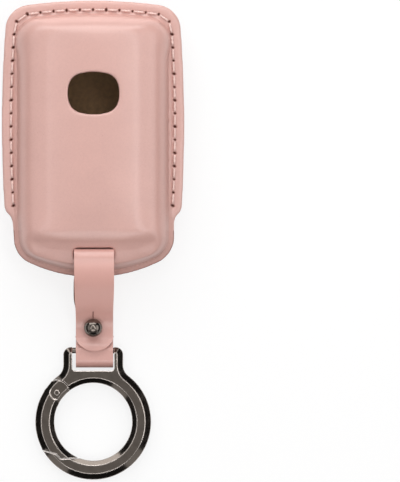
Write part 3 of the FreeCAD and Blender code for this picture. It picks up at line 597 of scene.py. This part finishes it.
class KEYCOVER_OT_mould_shells(bpy.types.Operator):
    """Mould the two leather shells and press the seam into their flanges"""

    bl_idname = "keycover.mould_shells"
    bl_label = "Mould shells"

    # Faces this near to the seam, and to the flange's face, are divided once more
    SEAM_REACH = 1.1 * MM
    FINE_BAND = 0.3 * MM

    # Needle holes stand this far beyond the stitches' ends in the frame
    HOLE_STEP = 0.45 * MM

    # A needle's slit slants across the seam, is narrower than long, and differs from hole to hole
    SLIT_SLANT = 0.45
    SLIT_WIDTH = 0.68
    SLIT_CHANGE = 0.18
    CHANGE_ACROSS = 1.7
    CHANGE_STEP = 0.24 * MM

    # Slits and grooves are pressed into places this near to the flange's face
    FLANGE_BAND = 0.35 * MM
    GROOVE_SPREAD = 1.6

    # Where the unstitched mouth ends along the cover, and half the height of its cut edges
    MOUTH_END = 3 * MM
    MOUTH_HALF = 2.2 * MM

    # How dark the painted shade is in the slits, at the walls' feet and on the mouth's cut edges, which are
    # also darker of themselves, and how pale the painted light on the steep top wall
    SLIT_SHADE = 2.1
    SLIT_CLEAR = 0.35
    EDGE_STAIN_AND_SHADE = 0.75
    MOUTH_FOOT_SHADE = 0.1
    WALL_FOOT_SHADE = 0.06
    TOP_PAINTED_LIGHT = 0.4

    def mould(self, node, thread_node, name, face, facing):
        leather = settings().leather
        shell = merged_copy(node, name)
        with_modifier(shell, "REMESH", mode="VOXEL", voxel_size=leather.mesh_step)
        with_modifier(shell, "SMOOTH", factor=0.5, iterations=10)
        clouds = bpy.data.textures.new(name + "_ripple", "CLOUDS")
        clouds.noise_scale = 14 * MM
        with_modifier(shell, "DISPLACE", texture=clouds, strength=leather.ripple, mid_level=0.5)
        hand_mould(shell, face, facing)
        places = stitch_places(thread_node)
        self.refine(shell, places, face)
        points, dimple = self.pierce(shell, places, face, facing)
        self.paint_light_and_shade(shell, points, dimple, face, facing)
        pick(shell)
        bpy.ops.object.shade_smooth()
        material = bpy.data.materials.get("pink_leather") or leather_finish("pink_leather", leather.colour)
        return finish_piece(shell, material, "case", "case_leather", node)

    def refine(self, shell, places, face):
        centres = face_centres(shell)
        near = np.full(len(centres), FAR)
        for middle, along, reach in places:
            near = np.minimum(near, distance_to_run(centres, middle, along, reach + self.HOLE_STEP))
        on_flange = np.abs(centres[:, 2] - face) < self.FINE_BAND
        select_faces(shell, (near < self.SEAM_REACH) & on_flange)
        bpy.ops.mesh.subdivide(number_cuts=1)
        end_edit()

    def slit_distance(self, offset, along, point):
        """How far places lie from the slit at a point of the seam."""
        across = np.array((-along[1], along[0]))
        across = across * np.sign(across @ (CASE_MIDDLE - point)[:2])
        lean = across + np.array((0, self.SLIT_SLANT))
        lean = lean / np.linalg.norm(lean)
        turn = (self.CHANGE_ACROSS * point[0] + point[1]) / self.CHANGE_STEP
        uneven = 1 + self.SLIT_CHANGE * math.sin(turn)
        wide = (offset @ np.array((-lean[1], lean[0]))) / self.SLIT_WIDTH
        return np.hypot(offset @ lean, wide) / uneven

    def pierce(self, shell, places, face, facing):
        """Press in the slits, the groove under the stitches and the puckers beside the seam."""
        leather = settings().leather
        points = points_of(shell)
        height = (points[:, 2] - face) * facing
        on_flange = (np.abs(height) < self.FLANGE_BAND).astype(float)
        hole = np.full(len(points), FAR)
        slit = np.full(len(points), FAR)
        run = np.full(len(points), FAR)
        for middle, along, reach in places:
            run = np.minimum(run, distance_to_run(points, middle, along, reach))
            for end in (-1, 1):
                point = middle + along * end * (reach + self.HOLE_STEP)
                offset = points[:, :2] - point[:2]
                hole = np.minimum(hole, np.linalg.norm(offset, axis=1))
                slit = np.minimum(slit, self.slit_distance(offset, along, point))
        groove_reach = self.GROOVE_SPREAD * leather.needle_radius
        dimple = hump(slit, middle=0.0, reach=leather.needle_radius, power=2) * on_flange
        groove = hump(run, middle=0.0, reach=groove_reach, power=2) * on_flange
        pucker = hump(hole, middle=2.0 * MM, reach=0.6 * MM, power=2)
        pucker *= rising(height, start=0.3 * MM, run=0.6 * MM) * falling(height, end=4 * MM, run=3 * MM)
        points[:, 2] -= facing * np.maximum(dimple * leather.needle_depth, groove * leather.groove_depth)
        points[:, 2] -= facing * leather.pucker * pucker
        move_points(shell, points)
        return points, dimple

    def paint_light_and_shade(self, shell, points, dimple, face, facing):
        """Mark painted shade in the slits, at the walls' feet and on the mouth's cut edges, which are also
        darker of themselves, and painted light on the steep top wall that faces the key_panel lamp.
        """
        normals = normals_of(shell)
        level = np.abs(normals[:, 2])
        height = (points[:, 2] - face) * facing
        at_mouth = points[:, 1] < self.MOUTH_END
        at_edge = np.abs(points[:, 2] - (FRONT_FACE + BACK_FACE) / 2) < self.MOUTH_HALF
        # Painted shade in the gap between the shells at the mouth, on cut edges that are also darker of
        # themselves
        edge = falling(level, end=0.8, run=0.4) * at_edge * at_mouth
        # Painted shade at the walls' feet
        foot = falling(level, end=0.82, run=0.3) * falling(height, end=4.5 * MM, run=2 * MM)
        above = (height > 0.3 * MM) * falling(points[:, 1], end=58 * MM, run=8 * MM)
        foot *= above * np.where(at_mouth, self.MOUTH_FOOT_SHADE, self.WALL_FOOT_SHADE)
        # Painted shade in the needle slits
        slits = np.clip(dimple * self.SLIT_SHADE - self.SLIT_CLEAR, 0, 1)
        # Painted light on the steep top wall, which faces +Y, towards the key_panel lamp
        mark(shell, "painted_light", self.TOP_PAINTED_LIGHT * rising(normals[:, 1], start=0.7, run=0.2))
        mark(shell, "painted_shade_and_cut_edge", np.maximum(slits, np.maximum(edge * self.EDGE_STAIN_AND_SHADE, foot)))

    def execute(self, context):
        self.mould("front_shell", "seam_thread_front", "front_leather", FRONT_FACE, 1)
        self.mould("back_shell", "seam_thread_back", "back_leather", BACK_FACE, -1)
        return {"FINISHED"}


class KEYCOVER_OT_line_case(bpy.types.Operator):
    """Fit the lining to the moulded shells and give it its suede"""

    bl_idname = "keycover.line_case"
    bl_label = "Line case"

    def execute(self, context):
        suede = suede_finish("brown_suede", settings().leather.lining)
        sides = (
            ("front_lining", "front_suede", FRONT_FACE, 1),
            ("back_lining", "back_suede", BACK_FACE, -1),
        )
        for node, name, face, facing in sides:
            piece = merged_copy(node, name)
            hand_mould(piece, face, facing)
            smooth_by_angle(piece, SHARP_ANGLE)
            finish_piece(piece, suede, "case", "lining", node)
        return {"FINISHED"}


class KEYCOVER_OT_sew_seams(bpy.types.Operator):
    """Sew both flanges with separate twisted stitches"""

    bl_idname = "keycover.sew_seams"
    bl_label = "Sew seams"

    # A stitch is pressed flat, twists from ring to ring, thins at its ends and dips into the leather there
    FLATNESS = 0.78
    TWIST = math.radians(38)
    END_TAPER = 0.3
    TAPER_POWER = 6
    DIP = 0.75 * MM
    DIP_POWER = 8

    def model_stitch(self, length):
        thread = settings().thread
        bpy.ops.object.select_all(action="DESELECT")
        bpy.ops.mesh.primitive_circle_add(
            vertices=thread.sides, radius=thread.radius, fill_type="NGON",
            location=(-length / 2, 0, 0), rotation=(0, math.pi / 2, 0))
        stitch = bpy.context.active_object
        bpy.ops.object.transform_apply(location=True, rotation=True, scale=True)
        edit_all(stitch)
        bpy.ops.transform.resize(value=(1, 1, self.FLATNESS))
        step = length / thread.rings
        for ring in range(thread.rings):
            bpy.ops.mesh.extrude_region_move(TRANSFORM_OT_translate={"value": (step, 0, 0)})
            bpy.ops.transform.rotate(
                value=self.TWIST, orient_axis="X",
                center_override=(step * (ring + 1) - length / 2, 0, 0))
        bpy.ops.mesh.select_all(action="SELECT")
        bpy.ops.mesh.normals_make_consistent(inside=False)
        end_edit()
        points = points_of(stitch)
        share = np.abs(points[:, 0]) / (length / 2)
        points[:, 1:] *= (1 - self.END_TAPER * share ** self.TAPER_POWER)[:, None]
        points[:, 2] -= self.DIP * share ** self.DIP_POWER
        move_points(stitch, points)
        bpy.ops.object.shade_smooth()
        return stitch

    def sew(self, node, name, facing):
        places = stitch_places(node)
        length = 2 * np.mean([reach for _, _, reach in places])
        model = self.model_stitch(length)
        out = Vector((0, 0, facing))
        stitches = []
        for middle, along, _ in places:
            stitch = bpy.data.objects.new(name, model.data.copy())
            bpy.context.collection.objects.link(stitch)
            run = Vector(along).normalized()
            side = out.cross(run)
            turn = Matrix((run, side, out)).transposed().to_4x4()
            stitch.data.transform(Matrix.Translation(Vector(middle)) @ turn)
            stitches.append(stitch)
        bpy.data.objects.remove(model)
        pick(*stitches)
        bpy.ops.object.join()
        seam = bpy.context.active_object
        seam.name = name
        material = bpy.data.materials.get("waxed_thread")
        material = material or thread_finish("waxed_thread", settings().thread.colour)
        return finish_piece(seam, material, "case", "thread", node)

    def execute(self, context):
        self.sew("seam_thread_front", "front_stitches", 1)
        self.sew("seam_thread_back", "back_stitches", -1)
        return {"FINISHED"}


# The strap's middle line seen from its edge, in millimetres: along the cover, up, and the bend's radius
STRAP_LINE = (
    (-32.575, 5.6, 0), (-31.0, 5.6, 2.6), (-29.0, 4.8, 2.6), (-23.0, 4.8, 9.0), (-11.0, 17.4, 18.0),
    (-3.275, 19.744, 1.65), (-3.275, 0.7, 1.65), (-20.575, 1.5, 10.0),
    (-29.0, 1.5, 1.95), (-31.0, 0.7, 1.95), (-36.85, 0.7, 1.775), (-36.85, 4.25, 1.775),
    (-32.08, 4.25, 1.95), (-29.0, 2.85, 1.95), (-22.55, 2.85, 0),
)
BEND_POINTS = 12


def bent_line(corners, step):
    """Evenly spaced points along straight runs joined by tangent arcs, and how far along each one lies."""
    line = [np.array(corners[0][:2])]
    for before, corner, after in zip(corners, corners[1:], corners[2:]):
        here = np.array(corner[:2])
        radius = corner[2]
        arrive = here - np.array(before[:2])
        leave = np.array(after[:2]) - here
        arrive = arrive / np.linalg.norm(arrive)
        leave = leave / np.linalg.norm(leave)
        turn = math.acos(max(-1.0, min(1.0, float(arrive @ leave))))
        side = 1 if arrive[0] * leave[1] - arrive[1] * leave[0] > 0 else -1
        start = here - arrive * radius * math.tan(turn / 2)
        centre = start + np.array((-arrive[1], arrive[0])) * side * radius
        spoke = start - centre
        for share in np.linspace(0, 1, BEND_POINTS):
            angle = side * turn * share
            cosine = math.cos(angle)
            sine = math.sin(angle)
            turned = (spoke[0] * cosine - spoke[1] * sine, spoke[0] * sine + spoke[1] * cosine)
            line.append(centre + np.array(turned))
    line.append(np.array(corners[-1][:2]))
    line = np.array(line)
    travel = np.concatenate(([0], np.cumsum(np.linalg.norm(np.diff(line, axis=0), axis=1))))
    even = np.linspace(0, travel[-1], int(travel[-1] / step) + 1)
    return np.stack([np.interp(even, travel, line[:, axis]) for axis in (0, 1)], axis=1), even


class KEYCOVER_OT_cut_strap(bpy.types.Operator):
    """Cut the strap flat, bend it along its way through the case and round the bar, and pierce its flap"""

    bl_idname = "keycover.cut_strap"
    bl_label = "Cut strap"

    # Faces across the strap, and the step between its rows in millimetres
    COLUMNS = 22
    ROW_STEP = 0.4

    # The flap's rounded end in millimetres: radii of its bow and corners, and the length drawn back with it
    END_BOW = 7.0
    END_CORNER = 3.4
    END_REACH = 9.0

    # Shares of the strap's full width: at the flap, and what it gains at the front and back slots
    FLAP_WIDTH = 0.97
    FRONT_GAIN = 0.065
    BACK_GAIN = 0.075

    # Between the slots: the case's inside from its back, in millimetres, and how the strap leans and spreads
    CASE_LOW = 2.0
    CASE_DEPTH = 16.0
    CASE_LEAN = 0.8
    CASE_SPREAD = 0.16

    # Below this height, in millimetres, lies the back layer
    BACK_TOP = 2.5

    # How dark the painted shade is on the back layer under the front layer, and how pale the painted light
    # on the front slope
    BACK_LAYER_SHADE = 0.75
    SLOPE_PAINTED_LIGHT = 0.75

    def end_depth(self, across, half):
        """How far the flap's rounded end draws back at each place across the strap."""
        corner = self.END_CORNER
        turn = self.END_BOW - math.sqrt((self.END_BOW - corner) ** 2 - (half - corner) ** 2)
        reach = self.END_BOW * (half - corner) / (self.END_BOW - corner)
        bow = self.END_BOW - np.sqrt(self.END_BOW ** 2 - np.minimum(across, reach) ** 2)
        round_corner = turn - np.sqrt(np.maximum(corner ** 2 - (across - half + corner) ** 2, 0))
        return np.where(across < reach, bow, round_corner)

    def bend(self, strap, line, travel):
        """Lay the flat strip along its line, wider at the slots and to one side behind."""
        leather = settings().leather
        flat = points_of(strap)
        half = leather.strap_width / MM / 2
        across = np.sin(flat[:, 0] * math.pi) * half
        along = (flat[:, 1] + 0.5) * travel[-1]
        lead = self.end_depth(np.abs(across), half)
        drawn_back = lead + along * (self.END_REACH - lead) / self.END_REACH
        along = np.where(along < self.END_REACH, drawn_back, along)
        length = np.interp(along, travel, line[:, 0])
        height = np.interp(along, travel, line[:, 1])
        behind = hump(length, middle=-14.5, reach=5.0, power=4) * (height < self.BACK_TOP)
        depth = np.clip((height - self.CASE_LOW) / self.CASE_DEPTH, 0, 1)
        within = rising(length, start=-4.6, run=0.6) * np.sin(depth * math.pi)
        taper = self.FLAP_WIDTH + self.FRONT_GAIN * rising(height, start=4.5, run=12.0)
        taper += self.BACK_GAIN * rising(length, start=-9.0, run=3.0) * falling(height, end=4.0, run=2.0)
        wide = across * (taper + self.CASE_SPREAD * within)
        points = np.empty_like(flat)
        points[:, 0] = wide - behind * leather.strap_drift / MM + leather.slot_offset / MM
        points[:, 1] = length + within * self.CASE_LEAN
        points[:, 2] = height
        move_points(strap, points * MM)

    def cut_away(self, strap):
        """Cut the shape that was added last out of the strap."""
        cutter = bpy.context.active_object
        pick(cutter)
        bpy.ops.object.transform_apply(location=True, rotation=True, scale=True)
        with_modifier(strap, "BOOLEAN", object=cutter, operation="DIFFERENCE", solver="EXACT")
        bpy.data.objects.remove(cutter)

    def pierce(self, strap):
        """Cut the flap's keyhole, its slit and the way for the stud's screw."""
        bpy.ops.object.select_all(action="DESELECT")
        bpy.ops.mesh.primitive_cylinder_add(
            vertices=48, radius=1.6 * MM, depth=2.6 * MM, location=(0, STUD.y, 4.8 * MM))
        self.cut_away(strap)
        bpy.ops.object.select_all(action="DESELECT")
        bpy.ops.mesh.primitive_cube_add(
            size=1, location=(0, STUD.y + 2.7 * MM, 6.1 * MM), scale=(0.35 * MM, 4.2 * MM, 4.8 * MM))
        self.cut_away(strap)
        bpy.ops.object.select_all(action="DESELECT")
        bpy.ops.mesh.primitive_cylinder_add(
            vertices=40, radius=1.28 * MM, depth=3.3 * MM, location=(0, STUD.y, 2.1 * MM))
        self.cut_away(strap)

    def paint_light_and_shade(self, strap):
        """Mark painted shade on the back layer where it lies under the front layer, and painted light on the
        front slope, which faces away from the key_panel lamp.
        """
        points = points_of(strap)
        length = points[:, 1]
        height = points[:, 2]
        upward = normals_of(strap)[:, 2] > 0.3
        # Painted shade on the back layer's upper faces, under the front layer
        under_shade = falling(height, end=3.2 * MM, run=0.6 * MM) * rising(length, start=-22 * MM, run=4 * MM)
        # Painted light on the front slope, which faces away from the key_panel lamp
        slope = rising(length, start=-25 * MM, run=6 * MM) * falling(length, end=-3.2 * MM, run=4.5 * MM)
        mark(strap, "painted_shade_and_cut_edge", under_shade * self.BACK_LAYER_SHADE * upward)
        mark(strap, "painted_light", slope * self.SLOPE_PAINTED_LIGHT * (height > 4 * MM))

    def execute(self, context):
        leather = settings().leather
        line, travel = bent_line(STRAP_LINE, self.ROW_STEP)
        bpy.ops.object.select_all(action="DESELECT")
        bpy.ops.mesh.primitive_grid_add(
            x_subdivisions=self.COLUMNS, y_subdivisions=len(line) - 1, size=1)
        strap = bpy.context.active_object
        strap.name = "strap"
        self.bend(strap, line, travel)
        edit_all(strap)
        bpy.ops.mesh.normals_make_consistent(inside=False)
        end_edit()
        with_modifier(strap, "SOLIDIFY", thickness=leather.strap_thickness, offset=0.0)
        with_modifier(
            strap, "BEVEL", width=0.28 * MM, segments=3,
            limit_method="ANGLE", angle_limit=STRAP_SHARP_ANGLE)
        self.pierce(strap)
        self.paint_light_and_shade(strap)
        smooth_by_angle(strap, STRAP_SHARP_ANGLE)
        material = leather_finish("pink_strap", leather.strap)
        finish_piece(strap, material, None, "strap_leather", "strap_upper", "strap_flap", "strap_loop")
        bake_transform(strap)
        return {"FINISHED"}


# The gate's pin, the ring's middle and the lapped end of the gate, round that middle: radius and angle
PIN = np.array((-10.692, -44.909)) * MM
RING_MIDDLE = np.array((0.0, -53.475)) * MM
NOSE = ((17.05, 210.0), (14.61, 221.0), (14.61, 229.0), (12.19, 243.0))
KNUCKLE_RADIUS = 3.65 * MM

# Points this near to the nose and the knuckle belong to them
NOSE_BAND = 0.02 * MM
KNUCKLE_BAND = 0.01 * MM

# The play that the gate's spring takes up: shares of it at the front edges, and more of it towards the back
GATE_PLAY = 0.2 * MM
NOSE_PLAY = 0.3
KNUCKLE_PLAY = 0.2
DEEP_PLAY = 0.6


def swung(places, play):
    """Places moved off the pin, and turned the way the gate closes, by the play."""
    away = places - PIN
    reach = np.linalg.norm(away, axis=1)
    turn = np.arctan2(away[:, 1], away[:, 0]) - play / reach
    return PIN + np.stack((np.cos(turn), np.sin(turn)), axis=1) * (reach + play)[:, None]


def nose_distance(points, play):
    """How far points lie from the lapped end of the gate, drawn in towards the pin by the play."""
    corners = []
    for radius, angle in NOSE:
        turn = math.radians(angle)
        corner = RING_MIDDLE + np.array((math.cos(turn), math.sin(turn))) * radius * MM
        corners.append(swung(corner[None], -play)[0])
    corners[0] = corners[0] + (corners[0] - corners[1])
    corners[3] = corners[3] + (corners[3] - corners[2])
    near = np.full(len(points), FAR)
    for first, last in zip(corners, corners[1:]):
        run = last - first
        half = np.linalg.norm(run) / 2
        near = np.minimum(near, distance_to_run(points, (first + last) / 2, run / (2 * half), half))
    return near


def close_gate(gate):
    """Narrow the gate's joints, because its spring holds it on the ring's lip."""
    points = points_of(gate)
    low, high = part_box("gate")
    depth = (high.z - points[:, 2]) / (high.z - low.z)
    end = nose_distance(points, GATE_PLAY) < NOSE_BAND
    points[end, :2] = swung(points[end, :2], GATE_PLAY * (NOSE_PLAY + DEEP_PLAY * depth[end]))
    away = points[:, :2] - PIN
    reach = np.linalg.norm(away, axis=1)
    knuckle = np.abs(reach - KNUCKLE_RADIUS) < KNUCKLE_BAND
    stretch = GATE_PLAY * (KNUCKLE_PLAY + DEEP_PLAY * depth[knuckle]) / reach[knuckle]
    points[knuckle, :2] += away[knuckle] * stretch[:, None]
    move_points(gate, points)


def metal_piece(node, name, body):
    """A copy of a metal node, smooth round and sharp along its edges."""
    piece = merged_copy(node, name)
    if node == "gate":
        close_gate(piece)
    smooth_by_angle(piece, SHARP_ANGLE)
    return finish_piece(piece, black_nickel(), body, "dark_metal", node)


class KEYCOVER_OT_set_stud(bpy.types.Operator):
    """Set the ball stud and the screw that holds it"""

    bl_idname = "keycover.set_stud"
    bl_label = "Set stud"

    # The ball begins at this height, and is so much wider than its solid
    BALL_FOOT = 5.6 * MM
    BALL_WIDTH = 1.14

    def execute(self, context):
        ball = metal_piece("stud_head", "stud_ball", "strap")
        points = points_of(ball)
        above = (points[:, 2] > self.BALL_FOOT)[:, None]
        middle = np.array((STUD.x, STUD.y))
        points[:, :2] = np.where(above, middle + (points[:, :2] - middle) * self.BALL_WIDTH, points[:, :2])
        move_points(ball, points)
        metal_piece("stud_screw", "stud_back_screw", "strap")
        return {"FINISHED"}


class KEYCOVER_OT_hang_ring(bpy.types.Operator):
    """Hang the gate ring with its rivet and spring"""

    bl_idname = "keycover.hang_ring"
    bl_label = "Hang ring"

    def execute(self, context):
        metal_piece("ring_frame", "ring", "ring")
        metal_piece("gate", "ring_gate", "gate")
        metal_piece("gate_pin", "gate_rivet", "gate")
        wire = metal_finish(
            "spring_wire", settings().metal.spring, smoothest=0.25, dullest=0.35, edge_radius=0.0)
        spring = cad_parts["gate_spring"]
        spring.data.materials.clear()
        spring.data.materials.append(wire)
        return {"FINISHED"}


class KEYCOVER_OT_set_stage(bpy.types.Operator):
    """Lay the pale floor, hang the lamps and set the camera over the cover"""

    bl_idname = "keycover.set_stage"
    bl_label = "Set stage"

    # The floor's size, how far it lies below the cover, and how white it looks to the camera
    FLOOR_SIZE = 8.0
    FLOOR_DROP = 0.2 * MM
    FLOOR_WHITE = 0.8

    # Lamp name, place, target, size across and along, power in watts
    LAMPS = (
        ("right_softbox", (0.48, 0.3, 1.7), (0.0, 0.0, 0.0), 1.8, 0.34, 6.7),
        ("left_softbox", (-0.52, 0.3, 1.7), (0.0, 0.0, 0.0), 1.8, 0.34, 3.6),
        ("key_panel", (-0.05, 0.38, 0.26), (0.0, 0.0, 0.0), 0.62, 0.24, 1.4),
        ("top_fill", (0.0, 0.6, 0.13), (0.0, 0.0, 0.0), 0.6, 0.16, 0.28),
        ("low_left_panel", (-0.386, -0.51, 0.195), (0.0, -0.053, 0.0), 0.27, 0.16, 0.11),
        ("low_right_panel", (0.44, -0.46, 0.195), (0.0, -0.053, 0.0), 0.25, 0.16, 0.1),
        ("front_fill", (0.0, -0.85, 1.6), (0.0, 0.0, 0.0), 1.2, 0.5, 4.4),
        ("right_strip", (0.76, 0.0, 0.6), (0.0, 0.0, 0.0), 0.9, 0.44, 1.8),
        ("left_strip", (-0.76, 0.0, 0.6), (0.0, 0.0, 0.0), 0.9, 0.44, 0.85),
    )

    def floor(self):
        bpy.ops.object.select_all(action="DESELECT")
        bpy.ops.mesh.primitive_plane_add(size=self.FLOOR_SIZE, location=(0, 0, -self.FLOOR_DROP))
        floor = bpy.context.active_object
        floor.name = "floor"
        bpy.ops.object.transform_apply(location=True, rotation=True, scale=True)
        material = bpy.data.materials.new("pale_floor")
        material.use_nodes = True
        tree = material.node_tree
        shader = tree.nodes["Principled BSDF"]
        shader.inputs["Base Color"].default_value = settings().stage.floor
        shader.inputs["Roughness"].default_value = 0.9
        shader.inputs["Specular IOR Level"].default_value = 0.1
        glow = tree.nodes.new("ShaderNodeEmission")
        path = tree.nodes.new("ShaderNodeLightPath").outputs
        seen = calculated(tree, "MAXIMUM", path["Is Camera Ray"], path["Is Glossy Ray"])
        seen = calculated(tree, "MAXIMUM", seen, path["Is Transmission Ray"])
        white = calculated(tree, "MULTIPLY", seen, self.FLOOR_WHITE)
        mix = tree.nodes.new("ShaderNodeMixShader")
        tree.links.new(white, mix.inputs["Fac"])
        tree.links.new(shader.outputs["BSDF"], mix.inputs[1])
        tree.links.new(glow.outputs["Emission"], mix.inputs[2])
        tree.links.new(mix.outputs["Shader"], tree.nodes["Material Output"].inputs["Surface"])
        floor.data.materials.append(material)

    def lamps(self):
        for name, place, target, across, along, power in self.LAMPS:
            data = bpy.data.lights.new(name, "AREA")
            data.shape = "RECTANGLE"
            data.size = across
            data.size_y = along
            data.energy = power
            lamp = bpy.data.objects.new(name, data)
            bpy.context.collection.objects.link(lamp)
            lamp.location = place
            lamp.rotation_euler = (Vector(target) - Vector(place)).to_track_quat("-Z", "Y").to_euler()

    def world(self):
        world = bpy.data.worlds.new("studio")
        bpy.context.scene.world = world
        world.use_nodes = True
        tree = world.node_tree
        place = tree.nodes.new("ShaderNodeTexCoord").outputs["Generated"]
        parts = tree.nodes.new("ShaderNodeSeparateXYZ")
        tree.links.new(place, parts.inputs[0])
        ramp = tree.nodes.new("ShaderNodeMapRange")
        ramp.interpolation_type = "SMOOTHSTEP"
        ramp.inputs["From Min"].default_value = 0.35
        ramp.inputs["From Max"].default_value = 1.0
        ramp.inputs["To Min"].default_value = 0.03
        ramp.inputs["To Max"].default_value = 0.54
        tree.links.new(parts.outputs["Z"], ramp.inputs["Value"])
        tree.links.new(ramp.outputs["Result"], tree.nodes["Background"].inputs["Strength"])
        tree.nodes["Background"].inputs["Color"].default_value = (1.0, 0.985, 0.97, 1.0)

    def camera(self):
        stage = settings().stage
        data = bpy.data.cameras.new("camera")
        camera = bpy.data.objects.new("camera", data)
        bpy.context.collection.objects.link(camera)
        across = (PHOTO_WIDTH / 2 - stage.axis_pixel) * stage.photo_scale
        up = (stage.middle_pixel - PHOTO_HEIGHT / 2) * stage.photo_scale
        camera.location = (across, up, FRONT_FACE + stage.camera_height)
        camera.rotation_euler = (0, 0, 0)
        data.sensor_width = 36.0
        data.lens = data.sensor_width * stage.camera_height / (PHOTO_HEIGHT * stage.photo_scale)
        data.clip_start = 0.01
        data.clip_end = 50.0
        bpy.context.scene.camera = camera

    def execute(self, context):
        self.floor()
        self.lamps()
        self.world()
        self.camera()
        context.scene.view_settings.view_transform = "Standard"
        return {"FINISHED"}


class KEYCOVER_PT_pieces(bpy.types.Panel):
    """Lists the steps that make the key cover"""

    bl_label = "Key cover"
    bl_idname = "KEYCOVER_PT_pieces"
    bl_space_type = "VIEW_3D"
    bl_region_type = "UI"
    bl_category = "Key cover"

    def draw(self, context):
        for step in STEPS:
            self.layout.operator(step.bl_idname)


STEPS = (
    KEYCOVER_OT_mould_shells,
    KEYCOVER_OT_line_case,
    KEYCOVER_OT_sew_seams,
    KEYCOVER_OT_cut_strap,
    KEYCOVER_OT_set_stud,
    KEYCOVER_OT_hang_ring,
    KEYCOVER_OT_set_stage,
)
GROUPS = (LeatherSettings, ThreadSettings, MetalSettings, StageSettings, KeyCoverSettings)


def register():
    for item in GROUPS + STEPS + (KEYCOVER_PT_pieces,):
        bpy.utils.register_class(item)
    bpy.types.Scene.key_cover = PointerProperty(type=KeyCoverSettings)


def unregister():
    del bpy.types.Scene.key_cover
    for item in reversed(GROUPS + STEPS + (KEYCOVER_PT_pieces,)):
        bpy.utils.unregister_class(item)


def main():
    register()
    bpy.ops.keycover.mould_shells()
    bpy.ops.keycover.line_case()
    bpy.ops.keycover.sew_seams()
    bpy.ops.keycover.cut_strap()
    bpy.ops.keycover.set_stud()
    bpy.ops.keycover.hang_ring()
    bpy.ops.keycover.set_stage()


if __name__ == "__main__":
    main()
